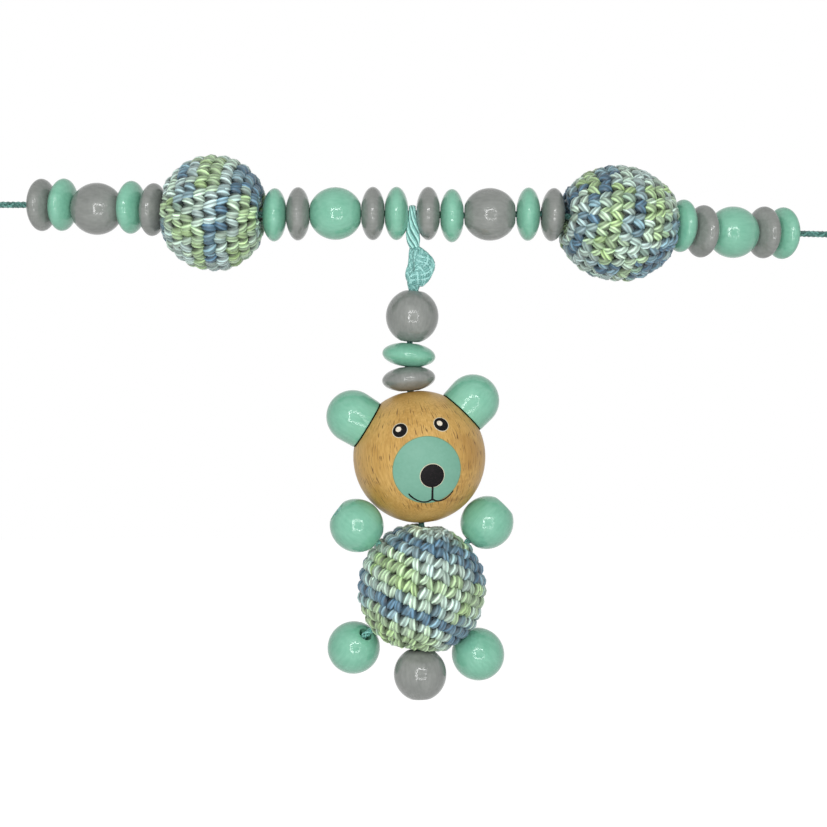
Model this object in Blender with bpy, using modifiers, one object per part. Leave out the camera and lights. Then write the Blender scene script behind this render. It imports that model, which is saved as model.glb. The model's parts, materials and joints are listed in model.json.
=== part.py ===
# Pram chain toy: lacquered wooden beads and two crocheted balls on one cord between two
# clips, with a wooden bear hanging from the middle on a braided cord.
# +Z is up, X runs along the chain and the viewer stands on the -Y side.
# The origin is on the main cord, where the bear's loop hangs over it.
# Sizes are in millimetres and are turned into metres where a mesh is made.

import math

import bmesh
import bpy
from mathutils import Matrix, Vector

MM = 0.001

# Beads
BEAD_RADIUS = 5.95
LENS_RADIUS = 6.1
BORE_RADIUS = 1.6
LENS_LENGTH = 5.1
ROUND_LENGTH = 2.0 * math.sqrt(BEAD_RADIUS ** 2 - BORE_RADIUS ** 2)
SINK_RADIUS = 2.65
SINK_DEPTH = 1.5
PLAY = 0.28
LENS_STEPS = 16
ROUND_STEPS = 16

# Main cord and the beads along it, counted outwards from the middle
CORD_RADIUS = 0.8
LOOP_SPACE = 2.15
BARE_CORD = {"left": 9.5, "right": 12.0}
SIDES = {"left": -1.0, "right": 1.0}
INNER_BEADS = {
    "left": ("mint lens", "gray lens", "mint round", "gray lens", "mint lens"),
    "right": ("gray lens", "mint lens", "gray round", "mint lens", "gray lens"),
}
OUTER_BEADS = {
    "left": ("gray lens", "mint lens", "gray round", "mint lens", "gray lens"),
    "right": ("mint lens", "gray lens", "mint round", "gray lens", "mint lens"),
}
# How far each of the eleven pieces on a side turns away from the viewer, and how far it
# climbs, in degrees
TURN_AWAY = {
    "left": (0, 0, 0, 0, 0, 6, 13, 17, 17, 17, 17),
    "right": (0, 0, 0, 0, 3, 12, 20, 26, 27, 27, 27),
}
CLIMB = {
    "left": (0, 0, 0, 0.5, 1, 2.5, 4, 3, 3, 5, 1),
    "right": (0, 0, 0, -1, -3, -5, -4, -3, 1, 0, 0),
}
# Slack that each piece leaves on the cord before its neighbour
SLACK = {
    "left": (0, 0, 0, 0, 0, 0, 0, 0, 0, 0, 0),
    "right": (0, 0.1, 0.1, 0.3, 0.2, 0, 0, 0, 0, 0, 0),
}
# How far a bead hangs down on the cord within the play of its bore, or is held up by its
# neighbour
HANG = {
    "left": (0, 0, 0, 0.1, 0.4, 0.44, 0.2, -0.1, 0.5, -0.1, 0.1),
    "right": (0, 0.5, 0.2, 0.1, 0, 0.5, -0.45, 0.35, 0.25, 0.14, 0.14),
}

# Crocheted balls: the wooden core, the cover's waist, its length between the two dimples
# where the neighbours press in, and its greatest length
CORE_RADIUS = 10.0
WAIST_RADIUS = 13.2
DIMPLED_HALF = {"left": 11.3, "right": 12.6}
FULL_HALF = {"left": 12.7, "right": 14.5}
DIMPLE_RADIUS = 5.9
ROUND_COUNT = 9
ROUND_DEPTH = 0.35
BODY_ROUND_COUNT = 11
COVER_GAP = 0.3
COVER_STEPS = 18
CORE_RINGS = 8
HOLLOW_RINGS = 6

# The pendant's cord, from the knot down to the tail bead
KNOT_TOP = Vector((0.55, 0.0, -7.9))
PENDANT_POINTS = (
    Vector((0.5, 0.0, -17.4)),
    Vector((-0.55, 0.0, -29.6)),
    Vector((-1.05, 0.0, -35.05)),
    Vector((-0.6, 0.0, -40.55)),
    Vector((3.8, 0.0, -70.6)),
    Vector((1.6, 0.0, -99.2)),
    Vector((1.96, 0.0, -111.2)),
)
# How far the body ball lies off the cord within the play of its bore
BODY_HANG = Vector((-0.45, 0.0, 0.0))
LOOP_THICKNESS = 0.9

# Bear
HEAD_RADIUS = 15.09
HEAD_STEPS = 26
HEAD_RINGS = 14
HEAD_YAW = 5.5
EAR_ANGLE = {"left": 50.6, "right": 52.2}
EAR_FLAT = 13.95
EAR_RADIUS = 6.05
EAR_BASE_RADIUS = 5.9
EAR_HEIGHT = 9.75
EAR_SEAM = 0.15
PAINT = 0.15
EYE_RADIUS = 1.56
EYE_UP = 26.3
EYE_OUT = 20.3
MUZZLE_RADIUS = 7.6
MUZZLE_UP = -12.9
NOSE_RADIUS = 2.7
NOSE_UP = -17.0
NOSE_OUT = 3.5
MOUTH_RADIUS = 0.2
MOUTH_SMILE = ((-21.3, -30.2), (-17.0, -36.3), (-9.0, -41.0), (1.9, -40.0),
               (10.0, -42.6), (18.5, -40.6), (25.5, -34.0))
MOUTH_LINE = ((2.9, -26.5), (1.9, -40.0))
BODY_CORE_RADIUS = 12.0
BODY_WAIST = 14.55
BODY_TOP = 15.0
BODY_BOTTOM = 15.1
BODY_BOTTOM_DIMPLED = 13.3
LIMB_CORD_RADIUS = 0.8
ANCHOR_CLEAR = 0.75
KNOT_SUNK = 1.45
LIMB_KNOT_RADII = (1.35, 1.35, 0.85)
TAIL_KNOT_RADII = (1.45, 1.45, 0.85)
CORD_SHORT_OF_RIM = 1.55
# Bead centre and the direction of its countersunk mouth, which faces away from the body
LIMBS = {
    "left_arm": (Vector((-12.6, -5.0, -71.1)), Vector((-0.79, -0.1, 0.6))),
    "right_arm": (Vector((17.1, 2.0, -70.7)), Vector((0.706, 0.094, 0.702))),
    "left_leg": (Vector((-13.5, 5.0, -99.6)), Vector((-0.48, 0.66, -0.58))),
    "right_leg": (Vector((15.15, 6.0, -101.2)), Vector((0.62, 0.283, -0.732))),
}

# Clip, in its own frame: X away from the chain, Y towards the pram, Z across
CLIP_START = -18.95
PLATE_FROM = -12.5
PLATE_TO = 34.0
PLATE_WIDTH = 14.0
PLATE_THICKNESS = 1.2
SLOT_FROM = -11.4
SLOT_TO = -8.2
SLOT_WIDTH = 9.0
PIN_X = 23.0
PIN_OUT = 4.6
PIN_RADIUS = 0.7
PIN_HOLE_RADIUS = 1.0
PIN_HEAD_RADIUS = 1.2
PIN_HEAD_LENGTH = 0.8
LUG_RADIUS = 1.9
LUG_FOOT = 3.2
LUG_THICKNESS = 1.0
LUG_INSET = 0.4
LEVER_WIDTH = 9.6
LEVER_THICKNESS = 1.0
LEVER_TO = -4.0
PAD_WIDTH = 10.6
PAD_FROM = 19.4
PAD_TO = 33.4
PAD_TEETH = 9
PAD_TOOTH = 0.5
EYE_WALL = 1.2
TOE_REACH = 2.4
DISC_RADIUS = 15.0
DISC_EDGE = 1.6
DISC_THICKNESS = 5.5
DISC_X = 9.0
DISC_OUT = 7.6
END_LOOP_RADIUS = 1.95

COLOURS = {
    "mint": ((0.22, 0.52, 0.39), 0.35, 0.0),
    "gray": ((0.28, 0.29, 0.28), 0.35, 0.0),
    "beech": ((0.55, 0.36, 0.15), 0.4, 0.0),
    "paint_black": ((0.01, 0.01, 0.01), 0.3, 0.0),
    "cotton": ((0.3, 0.45, 0.42), 0.85, 0.0),
    "braid": ((0.25, 0.5, 0.47), 0.5, 0.0),
    "steel": ((0.6, 0.6, 0.6), 0.3, 1.0),
    "plastic": ((0.8, 0.8, 0.78), 0.5, 0.0),
}


# Scene, materials and placing

def clear_scene():
    for obj in list(bpy.data.objects):
        bpy.data.objects.remove(obj, do_unlink=True)


def new_collection(name):
    collection = bpy.data.collections.new(name)
    bpy.context.scene.collection.children.link(collection)
    return collection


def new_material(name, colour, roughness, metallic):
    material = bpy.data.materials.new(name)
    material.use_nodes = True
    shader = material.node_tree.nodes["Principled BSDF"]
    shader.inputs["Base Color"].default_value = (*colour, 1.0)
    shader.inputs["Roughness"].default_value = roughness
    shader.inputs["Metallic"].default_value = metallic
    return material


def new_object(name, data, finish, collection):
    obj = bpy.data.objects.new(name, data)
    collection.objects.link(obj)
    if finish:
        data.materials.clear()
        data.materials.append(materials[finish])
    return obj


def part(name, data, finish):
    return new_object(name, data, finish, toy)


def cutter(name, data, finish=None):
    obj = new_object(name, data, finish, cutters)
    obj.hide_render = True
    obj.display_type = "WIRE"
    return obj


def place(obj, centre, axis=None, spin=0.0):
    turn = Matrix.Identity(4)
    if axis is not None:
        turn = Vector((0, 0, 1)).rotation_difference(axis).to_matrix().to_4x4()
    turn = turn @ Matrix.Rotation(math.radians(spin), 4, "Z")
    obj.matrix_world = Matrix.Translation(centre * MM) @ turn


def hang_on(name, pivot, pieces):
    """An empty at the joint, with the pieces that turn about it parented to it."""
    pivot_empty = bpy.data.objects.new(name, None)
    pivots.objects.link(pivot_empty)
    pivot_empty.empty_display_size = 3.0 * MM
    pivot_empty.matrix_world = Matrix.Translation(pivot * MM)
    for piece in pieces:
        piece.parent = pivot_empty
        piece.matrix_parent_inverse = pivot_empty.matrix_world.inverted()


def boolean(obj, other, operation):
    step = obj.modifiers.new(operation.lower() + "_" + other.name, "BOOLEAN")
    step.operation = operation
    step.object = other
    step.material_mode = "TRANSFER"


# Shapes

def profile_mesh(name, profile, closed):
    points = [(radius * MM, 0.0, height * MM) for radius, height in profile]
    edges = [(i, i + 1) for i in range(len(points) - 1)]
    if closed:
        edges.append((len(points) - 1, 0))
    mesh = bpy.data.meshes.new(name)
    mesh.from_pydata(points, edges, [])
    return mesh


def turn_profile(obj, steps):
    screw = obj.modifiers.new("turn", "SCREW")
    screw.steps = steps
    screw.render_steps = steps
    screw.use_merge_vertices = True
    screw.merge_threshold = 0.00001
    screw.use_smooth_shade = True


def ball_mesh(name, radii, across=10, rings=6):
    mesh = bpy.data.meshes.new(name)
    shape = bmesh.new()
    bmesh.ops.create_uvsphere(shape, u_segments=across, v_segments=rings, radius=1.0)
    bmesh.ops.scale(shape, vec=Vector(radii) * MM, verts=shape.verts)
    shape.to_mesh(mesh)
    shape.free()
    return mesh


def box_mesh(name, low, high):
    mesh = bpy.data.meshes.new(name)
    shape = bmesh.new()
    bmesh.ops.create_cube(shape, size=1.0)
    low = Vector(low)
    high = Vector(high)
    bmesh.ops.scale(shape, vec=(high - low) * MM, verts=shape.verts)
    bmesh.ops.translate(shape, vec=(high + low) * MM / 2.0, verts=shape.verts)
    shape.to_mesh(mesh)
    shape.free()
    return mesh


def rod_mesh(name, radius, low, high, steps):
    mesh = bpy.data.meshes.new(name)
    shape = bmesh.new()
    bmesh.ops.create_cone(shape, cap_ends=True, segments=steps, radius1=radius * MM,
                          radius2=radius * MM, depth=(high - low) * MM)
    bmesh.ops.translate(shape, vec=(0, 0, (high + low) * MM / 2.0), verts=shape.verts)
    shape.to_mesh(mesh)
    shape.free()
    return mesh


def tube_curve(name, points, radius, fineness=2):
    curve = bpy.data.curves.new(name, "CURVE")
    curve.dimensions = "3D"
    curve.bevel_depth = radius * MM
    curve.bevel_resolution = fineness
    curve.use_fill_caps = True
    spline = curve.splines.new("POLY")
    spline.points.add(len(points) - 1)
    for point, target in zip(points, spline.points):
        target.co = (*(point * MM), 1.0)
    return curve


def curve_as_mesh(name, curve):
    guide = new_object(name + "_guide", curve, None, cutters)
    bpy.context.view_layer.update()
    seen = guide.evaluated_get(bpy.context.evaluated_depsgraph_get())
    mesh = bpy.data.meshes.new_from_object(seen)
    bpy.data.objects.remove(guide, do_unlink=True)
    shape = bmesh.new()
    shape.from_mesh(mesh)
    bmesh.ops.remove_doubles(shape, verts=shape.verts, dist=0.00001)
    bmesh.ops.recalc_face_normals(shape, faces=shape.faces)
    shape.to_mesh(mesh)
    shape.free()
    return mesh


def outline_curve(name, outlines, half_width):
    curve = bpy.data.curves.new(name, "CURVE")
    curve.dimensions = "2D"
    curve.fill_mode = "BOTH"
    curve.extrude = half_width * MM
    for outline in outlines:
        spline = curve.splines.new("POLY")
        spline.points.add(len(outline) - 1)
        for (x, y), target in zip(outline, spline.points):
            target.co = (x * MM, y * MM, 0.0, 1.0)
        spline.use_cyclic_u = True
    return curve


def arc(centre, radius, start, end, count):
    angles = [math.radians(start + (end - start) * i / count) for i in range(count + 1)]
    return [(centre[0] + radius * math.cos(a), centre[1] + radius * math.sin(a)) for a in angles]


# Turned outlines, each running down the outside from the top

def lens_profile():
    """A flattened ball, rounded at its rim and cut flat where the bore comes out."""
    mouth = math.acos(BORE_RADIUS / LENS_RADIUS)
    thickness = LENS_LENGTH / 2.0 / math.sin(mouth)
    angles = [mouth, math.radians(50), math.radians(30), math.radians(12)]
    top = [(LENS_RADIUS * math.cos(a), thickness * math.sin(a)) for a in angles]
    return top + [(LENS_RADIUS, 0.0)] + [(radius, -height) for radius, height in reversed(top)]


def ball_profile(radius, count, sunk=False):
    mouth = SINK_RADIUS if sunk else BORE_RADIUS
    first = math.asin(mouth / radius)
    last = math.pi - math.asin(BORE_RADIUS / radius)
    angles = [first + (last - first) * i / (count - 1) for i in range(count)]
    profile = [(radius * math.sin(a), radius * math.cos(a)) for a in angles]
    if sunk:
        profile.append((BORE_RADIUS, radius * math.cos(first) - SINK_DEPTH))
    return profile


def cover_profile(core, waist, top, bottom, full_top, full_bottom, rounds):
    """Rounds of stitches on the outside, dimpled ends and a smooth hollow for the core."""
    hole = BORE_RADIUS / waist
    first = math.asin(hole)
    outside = []
    count = rounds * 2 + 1
    for i in range(count):
        angle = first + (math.pi - 2.0 * first) * i / (count - 1)
        ridge = 0.0 if i % 2 else ROUND_DEPTH
        radius = (waist + ridge - ROUND_DEPTH / 2.0) * math.sin(angle)
        full, dimpled = (full_top, top) if angle < math.pi / 2 else (full_bottom, bottom)
        height = (full + ridge - ROUND_DEPTH / 2.0) * math.cos(angle)
        depth = (full - dimpled) * max(0.0, 1.0 - (radius / DIMPLE_RADIUS) ** 2)
        height -= math.copysign(depth, height)
        if i in (0, count - 1):
            radius = BORE_RADIUS
            height = math.copysign(dimpled, height)
        outside.append((radius, height))
    # The hollow's flat facets have to clear the core, not only its corners
    facet = math.cos(math.pi / 2.0 / HOLLOW_RINGS) * math.cos(math.pi / COVER_STEPS)
    hollow = (core + COVER_GAP) / facet
    start = math.asin(BORE_RADIUS / hollow)
    inside = []
    for i in range(HOLLOW_RINGS + 1):
        angle = start + (math.pi - 2.0 * start) * i / HOLLOW_RINGS
        inside.append((hollow * math.sin(angle), hollow * math.cos(angle)))
    return outside + inside[::-1]


def ear_profile():
    centre = EAR_HEIGHT - EAR_RADIUS
    dome = [(EAR_RADIUS * math.sin(a), centre + EAR_RADIUS * math.cos(a))
            for a in (i * math.pi / 10 for i in range(6))]
    return dome + [(EAR_BASE_RADIUS, 0.0), (0.0, 0.0)]


def disc_profile():
    half = DISC_THICKNESS / 2.0
    corner = DISC_EDGE * 0.3
    top = [(0.0, half), (DISC_RADIUS - DISC_EDGE, half), (DISC_RADIUS - corner, half - corner),
           (DISC_RADIUS, half - DISC_EDGE)]
    return top + [(radius, -height) for radius, height in reversed(top)]


def pin_profile():
    shank = PLATE_WIDTH / 2.0 - LUG_INSET + PLAY
    head = shank + PIN_HEAD_LENGTH
    top = [(0.0, head), (PIN_HEAD_RADIUS, head - 0.2), (PIN_HEAD_RADIUS, shank),
           (PIN_RADIUS, shank)]
    return top + [(radius, -height) for radius, height in reversed(top)]


# The chain: each piece runs along the cord from one joint with its neighbour to the next

def heading(side, turn, climb):
    turn = math.radians(turn)
    climb = math.radians(climb)
    return Vector((SIDES[side] * math.cos(turn) * math.cos(climb),
                   math.sin(turn) * math.cos(climb), math.sin(climb)))


def chain_pieces(side):
    kinds = INNER_BEADS[side] + ("ball",) + OUTER_BEADS[side]
    here = Vector((SIDES[side] * (LOOP_SPACE - PLAY) / 2.0, 0.0, 0.0))
    pieces = []
    for i, kind in enumerate(kinds):
        ahead = heading(side, TURN_AWAY[side][i], CLIMB[side][i])
        if kind == "ball":
            name = side + "_ball"
            length = 2.0 * DIMPLED_HALF[side]
        else:
            group = "inner" if i < 5 else "outer"
            number = i + 1 if i < 5 else i - 5
            name = f"{side}_{group}_{number}_" + kind.replace(" ", "_")
            length = LENS_LENGTH if kind.endswith("lens") else ROUND_LENGTH
        there = here + ahead * (length + PLAY + SLACK[side][i])
        centre = (here + there) / 2.0 - Vector((0, 0, HANG[side][i]))
        pieces.append({"name": name, "kind": kind, "centre": centre, "axis": ahead, "end": there})
        here = there
    return pieces


def build_chain_beads(pieces, meshes):
    for piece in pieces:
        if piece["kind"] == "ball":
            continue
        colour, shape = piece["kind"].split()
        mesh = meshes[piece["kind"]]
        bead = part(piece["name"], mesh, None)
        turn_profile(bead, LENS_STEPS if shape == "lens" else ROUND_STEPS)
        place(bead, piece["centre"], piece["axis"])


def build_chain_ball(side, pieces):
    piece = next(p for p in pieces if p["kind"] == "ball")
    core = part(side + "_ball_core", profile_mesh("chain_core", ball_profile(CORE_RADIUS, CORE_RINGS), True),
                "beech")
    turn_profile(core, LENS_STEPS)
    place(core, piece["centre"], piece["axis"])
    half = DIMPLED_HALF[side]
    full = FULL_HALF[side]
    outline = cover_profile(CORE_RADIUS, WAIST_RADIUS, half, half, full, full, ROUND_COUNT)
    cover = part(side + "_ball_cover", profile_mesh("chain_cover", outline, True), "cotton")
    turn_profile(cover, COVER_STEPS)
    place(cover, piece["centre"], piece["axis"])


def cord_ends(chains):
    return {side: chains[side][-1]["end"] + chains[side][-1]["axis"] * BARE_CORD[side]
            for side in SIDES}


def build_main_cord(chains, ends):
    points = [ends["left"]]
    points += [piece["end"] for piece in reversed(chains["left"])]
    points.append(Vector((0, 0, 0)))
    points += [piece["end"] for piece in chains["right"]]
    points.append(ends["right"])
    part("main_cord", tube_curve("main_cord", points, CORD_RADIUS), "braid")


# Loop and knot of the braided cord

def loop_half_width(height):
    """Narrow between the two beads, widest below the cord, narrow again at the knot."""
    steps = ((0.0, 0.75), (-2.0, 0.78), (-4.3, 1.55), (-6.0, 1.5), (-7.6, 1.05))
    for (high, wide_high), (low, wide_low) in zip(steps, steps[1:]):
        if height >= low:
            share = min(1.0, max(0.0, (high - height) / (high - low)))
            return wide_high + (wide_low - wide_high) * share
    return steps[-1][1]


def build_ribbon_loop(finish):
    over = CORD_RADIUS + PLAY + LOOP_THICKNESS / 2.0
    low = KNOT_TOP.z + 0.35
    leg = [(-0.6 - (over - 0.6) * i / 5, low * (1 - i / 5)) for i in range(5)]
    top = [(-over * math.cos(a), over * math.sin(a)) for a in (i * math.pi / 8 for i in range(9))]
    path = leg + top + [(-y, z) for y, z in reversed(leg)]
    mesh = bpy.data.meshes.new("ribbon_loop")
    shape = bmesh.new()
    bmesh.ops.create_grid(shape, x_segments=1, y_segments=len(path) - 1, size=1.0)
    for vert in shape.verts:
        y, z = path[round((vert.co.y + 1.0) / 2.0 * (len(path) - 1))]
        lean = KNOT_TOP.x * min(1.0, max(0.0, z / low)) ** 3
        side = math.copysign(loop_half_width(z), vert.co.x)
        vert.co = Vector((lean + side, y, z)) * MM
    shape.to_mesh(mesh)
    shape.free()
    loop = part("ribbon_loop", mesh, finish)
    thick = loop.modifiers.new("thickness", "SOLIDIFY")
    thick.thickness = LOOP_THICKNESS * MM
    thick.offset = 0.0
    thick.use_even_offset = True


def build_ribbon_knot(finish):
    # Wraps of the overhand knot: centre, half sizes and lean in the picture's plane
    wraps = (
        ((0.75, -0.1, -12.3), (1.75, 1.6, 4.35), -3.0),
        ((2.3, -0.7, -10.9), (3.1, 1.6, 1.7), 32.0),
        ((3.3, 0.2, -12.4), (2.0, 1.7, 2.1), 20.0),
        ((1.6, 0.3, -14.6), (1.7, 1.6, 2.3), -30.0),
        ((0.5, 0.0, -16.2), (1.3, 1.1, 1.1), 0.0),
    )
    knot = None
    for i, (centre, radii, lean) in enumerate(wraps):
        name = f"knot_wrap_{i}"
        make = cutter if knot else part
        wrap = make(name if knot else "ribbon_knot", ball_mesh(name, radii), finish)
        turn = Matrix.Rotation(math.radians(lean), 4, "Y")
        wrap.matrix_world = Matrix.Translation(Vector(centre) * MM) @ turn
        if knot:
            boolean(knot, wrap, "UNION")
        else:
            knot = wrap
    knot.data.shade_smooth()
    hang_on("knot_sway", KNOT_TOP, [knot])


# Bear

def face_direction(out, up):
    out = math.radians(out)
    up = math.radians(up)
    return Vector((math.cos(up) * math.sin(out), -math.cos(up) * math.cos(out), math.sin(up)))


def paint_spot(head, name, finish, direction, radius, height, steps):
    """A round printed spot that stands on the ball by the thickness of its paint."""
    paint = height / HEAD_RADIUS + 1.0
    skin = profile_mesh(name, [(r * paint, z * paint) for r, z in head_profile(False)], False)
    spot = cutter(name, skin, finish)
    turn_profile(spot, HEAD_STEPS)
    spot.matrix_world = head.matrix_world
    stamp = cutter(name + "_stamp", rod_mesh(name + "_stamp", radius, HEAD_RADIUS - 3.0,
                                             HEAD_RADIUS + 3.0, steps), finish)
    turn = Vector((0, 0, 1)).rotation_difference(direction).to_matrix().to_4x4()
    stamp.matrix_world = head.matrix_world @ turn
    boolean(spot, stamp, "INTERSECT")
    boolean(head, spot, "UNION")


def head_profile(bored):
    if bored:
        return ball_profile(HEAD_RADIUS, HEAD_RINGS)
    rim = math.asin(BORE_RADIUS / HEAD_RADIUS)
    angles = [rim + (math.pi - 2.0 * rim) * i / (HEAD_RINGS - 1) for i in range(HEAD_RINGS)]
    return ([(0.0, HEAD_RADIUS)]
            + [(HEAD_RADIUS * math.sin(a), HEAD_RADIUS * math.cos(a)) for a in angles]
            + [(0.0, -HEAD_RADIUS)])


def build_head(top, bottom):
    head = part("head", profile_mesh("head", head_profile(True), True), "beech")
    turn_profile(head, HEAD_STEPS)
    up = (top - bottom).normalized()
    centre = (top + bottom) / 2.0
    place(head, centre, up, HEAD_YAW)
    for side, sign in SIDES.items():
        lean = Matrix.Rotation(math.radians(EAR_ANGLE[side] * sign), 4, "Y")
        flat = cutter(side + "_ear_flat", box_mesh(side + "_ear_flat", (-8, -8, EAR_FLAT - EAR_SEAM),
                                                   (8, 8, HEAD_RADIUS + 2)), "beech")
        flat.matrix_world = head.matrix_world @ lean
        boolean(head, flat, "DIFFERENCE")
        ear = part(side + "_ear", profile_mesh("ear", ear_profile(), False), "mint")
        turn_profile(ear, LENS_STEPS)
        seat = Matrix.Translation(Vector((0, 0, EAR_FLAT + EAR_SEAM)) * MM)
        ear.parent = head
        ear.matrix_local = lean @ seat
    paint_spot(head, "muzzle", "mint", face_direction(0, MUZZLE_UP), MUZZLE_RADIUS, PAINT, 24)
    paint_spot(head, "nose", "paint_black", face_direction(NOSE_OUT, NOSE_UP), NOSE_RADIUS,
               PAINT * 2, 16)
    for side, sign in SIDES.items():
        paint_spot(head, side + "_eye", "paint_black", face_direction(EYE_OUT * sign, EYE_UP),
                   EYE_RADIUS, PAINT, 12)
    for name, stroke in (("smile", MOUTH_SMILE), ("mouth_line", MOUTH_LINE)):
        points = [face_direction(out, lift) * (HEAD_RADIUS + PAINT) for out, lift in stroke]
        line = cutter(name, curve_as_mesh(name, tube_curve(name, points, MOUTH_RADIUS, 0)),
                      "paint_black")
        line.matrix_world = head.matrix_world
        boolean(head, line, "UNION")


def build_body(top, bottom):
    up = (top - bottom).normalized()
    centre = top - up * (BODY_TOP + PLAY / 2.0) + BODY_HANG
    core = part("body_core", profile_mesh("body_core", ball_profile(BODY_CORE_RADIUS, CORE_RINGS), True),
                "beech")
    turn_profile(core, LENS_STEPS)
    place(core, centre, up)
    outline = cover_profile(BODY_CORE_RADIUS, BODY_WAIST, BODY_TOP, BODY_BOTTOM_DIMPLED,
                            BODY_TOP, BODY_BOTTOM, BODY_ROUND_COUNT)
    cover = part("body_cover", profile_mesh("body_cover", outline, True), "cotton")
    turn_profile(cover, COVER_STEPS)
    place(cover, centre, up)
    return centre


def limb_anchor(body_centre, hole):
    """Where the limb's cord comes out of the cover, a little clear of its stitches."""
    out = (hole - body_centre).normalized()
    return body_centre + out * (BODY_WAIST + ANCHOR_CLEAR)


def build_limb(name, body_centre, mesh):
    centre, mouth = LIMBS[name]
    mouth = mouth.normalized()
    bead = part(name + "_bead", mesh, None)
    turn_profile(bead, ROUND_STEPS)
    place(bead, centre, mouth)
    entry = centre - mouth * (BEAD_RADIUS - 1.0)
    anchor = limb_anchor(body_centre, entry)
    far = centre + mouth * (BEAD_RADIUS - CORD_SHORT_OF_RIM)
    cord_mesh = curve_as_mesh(name + "_cord", tube_curve(name + "_cord", (anchor, entry, far),
                                                         LIMB_CORD_RADIUS, 1))
    cord = part(name + "_cord", cord_mesh, "braid")
    knot = cutter(name + "_knot", ball_mesh(name + "_knot", LIMB_KNOT_RADII, 8, 5), "braid")
    place(knot, centre + mouth * (BEAD_RADIUS - KNOT_SUNK), mouth)
    boolean(cord, knot, "UNION")
    hang_on(name + "_swing", anchor, [cord])
    return anchor


def build_pendant_beads(meshes):
    kinds = (("gray", "round"), ("mint", "lens"), ("gray", "lens"))
    for i, (colour, shape) in enumerate(kinds):
        start = PENDANT_POINTS[i]
        end = PENDANT_POINTS[i + 1]
        bead = part(f"pendant_{colour}_{shape}", meshes[f"{colour} {shape}"], None)
        turn_profile(bead, LENS_STEPS if shape == "lens" else ROUND_STEPS)
        place(bead, (start + end) / 2.0, (start - end).normalized())


def build_pendant_cord():
    points = list(PENDANT_POINTS[:-1])
    down = (PENDANT_POINTS[-1] - PENDANT_POINTS[-2]).normalized()
    tail_centre = (PENDANT_POINTS[-1] + PENDANT_POINTS[-2]) / 2.0
    points.append(tail_centre + down * (BEAD_RADIUS - CORD_SHORT_OF_RIM))
    mesh = curve_as_mesh("pendant_cord", tube_curve("pendant_cord", points, CORD_RADIUS))
    cord = part("pendant_cord", mesh, "braid")
    knot = cutter("tail_knot", ball_mesh("tail_knot", TAIL_KNOT_RADII, 8, 5), "braid")
    place(knot, tail_centre + down * (BEAD_RADIUS - KNOT_SUNK), down)
    boolean(cord, knot, "UNION")
    hang_on("cord_twist", PENDANT_POINTS[0], [cord])


def build_tail(mesh):
    centre = (PENDANT_POINTS[-1] + PENDANT_POINTS[-2]) / 2.0
    down = (PENDANT_POINTS[-1] - PENDANT_POINTS[-2]).normalized()
    tail = part("tail_bead", mesh, None)
    turn_profile(tail, ROUND_STEPS)
    place(tail, centre, down)


# Clips: drawn in the clip's own frame and then carried to the end of the cord

def clip_matrix(end, axis):
    """X runs away from the chain and Y towards the pram."""
    across = Vector((0, 0, 1))
    back = across.cross(axis).normalized()
    if back.y < 0:
        back = -back
    across = axis.cross(back)
    frame = Matrix((axis, back, across)).transposed().to_4x4()
    return Matrix.Translation((end - axis * CLIP_START) * MM) @ frame


def side_outline(name, finish, outlines, width, matrix):
    """A shape drawn in the clip's X and Y and given a width across it."""
    mesh = curve_as_mesh(name, outline_curve(name, outlines, width / 2.0))
    obj = part(name, mesh, finish)
    obj.matrix_world = matrix
    return obj


def build_clip_base(side, matrix):
    half = PLATE_WIDTH / 2.0
    thin = PLATE_THICKNESS / 2.0
    base = part(side + "_clip_base", box_mesh(side + "_clip_base", (PLATE_FROM, -thin, -half),
                                              (PLATE_TO, thin, half)), "steel")
    base.matrix_world = matrix
    corners = base.modifiers.new("corners", "BEVEL")
    corners.width = 0.3 * MM
    corners.segments = 1
    slot = cutter(side + "_slot", box_mesh(side + "_slot", (SLOT_FROM, -3, -SLOT_WIDTH / 2.0),
                                           (SLOT_TO, 3, SLOT_WIDTH / 2.0)), "steel")
    slot.matrix_world = matrix
    for sign in (-1.0, 1.0):
        outline = [(PIN_X - LUG_FOOT, 0.0)]
        outline += arc((PIN_X, -PIN_OUT), LUG_RADIUS, 180, 360, 8)
        outline += [(PIN_X + LUG_FOOT, 0.0)]
        mesh = curve_as_mesh(side + "_lug", outline_curve(side + "_lug", [outline],
                                                          LUG_THICKNESS / 2.0))
        lug = cutter(f"{side}_lug_{sign:.0f}", mesh, "steel")
        across = sign * (half - LUG_INSET - LUG_THICKNESS / 2.0)
        lug.matrix_world = matrix @ Matrix.Translation((0, 0, across * MM))
        boolean(base, lug, "UNION")
    hole = cutter(side + "_pin_hole", rod_mesh(side + "_pin_hole", PIN_HOLE_RADIUS, -12, 12, 12),
                  "steel")
    hole.matrix_world = matrix @ Matrix.Translation(Vector((PIN_X, -PIN_OUT, 0)) * MM)
    boolean(base, slot, "DIFFERENCE")
    boolean(base, hole, "DIFFERENCE")


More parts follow.
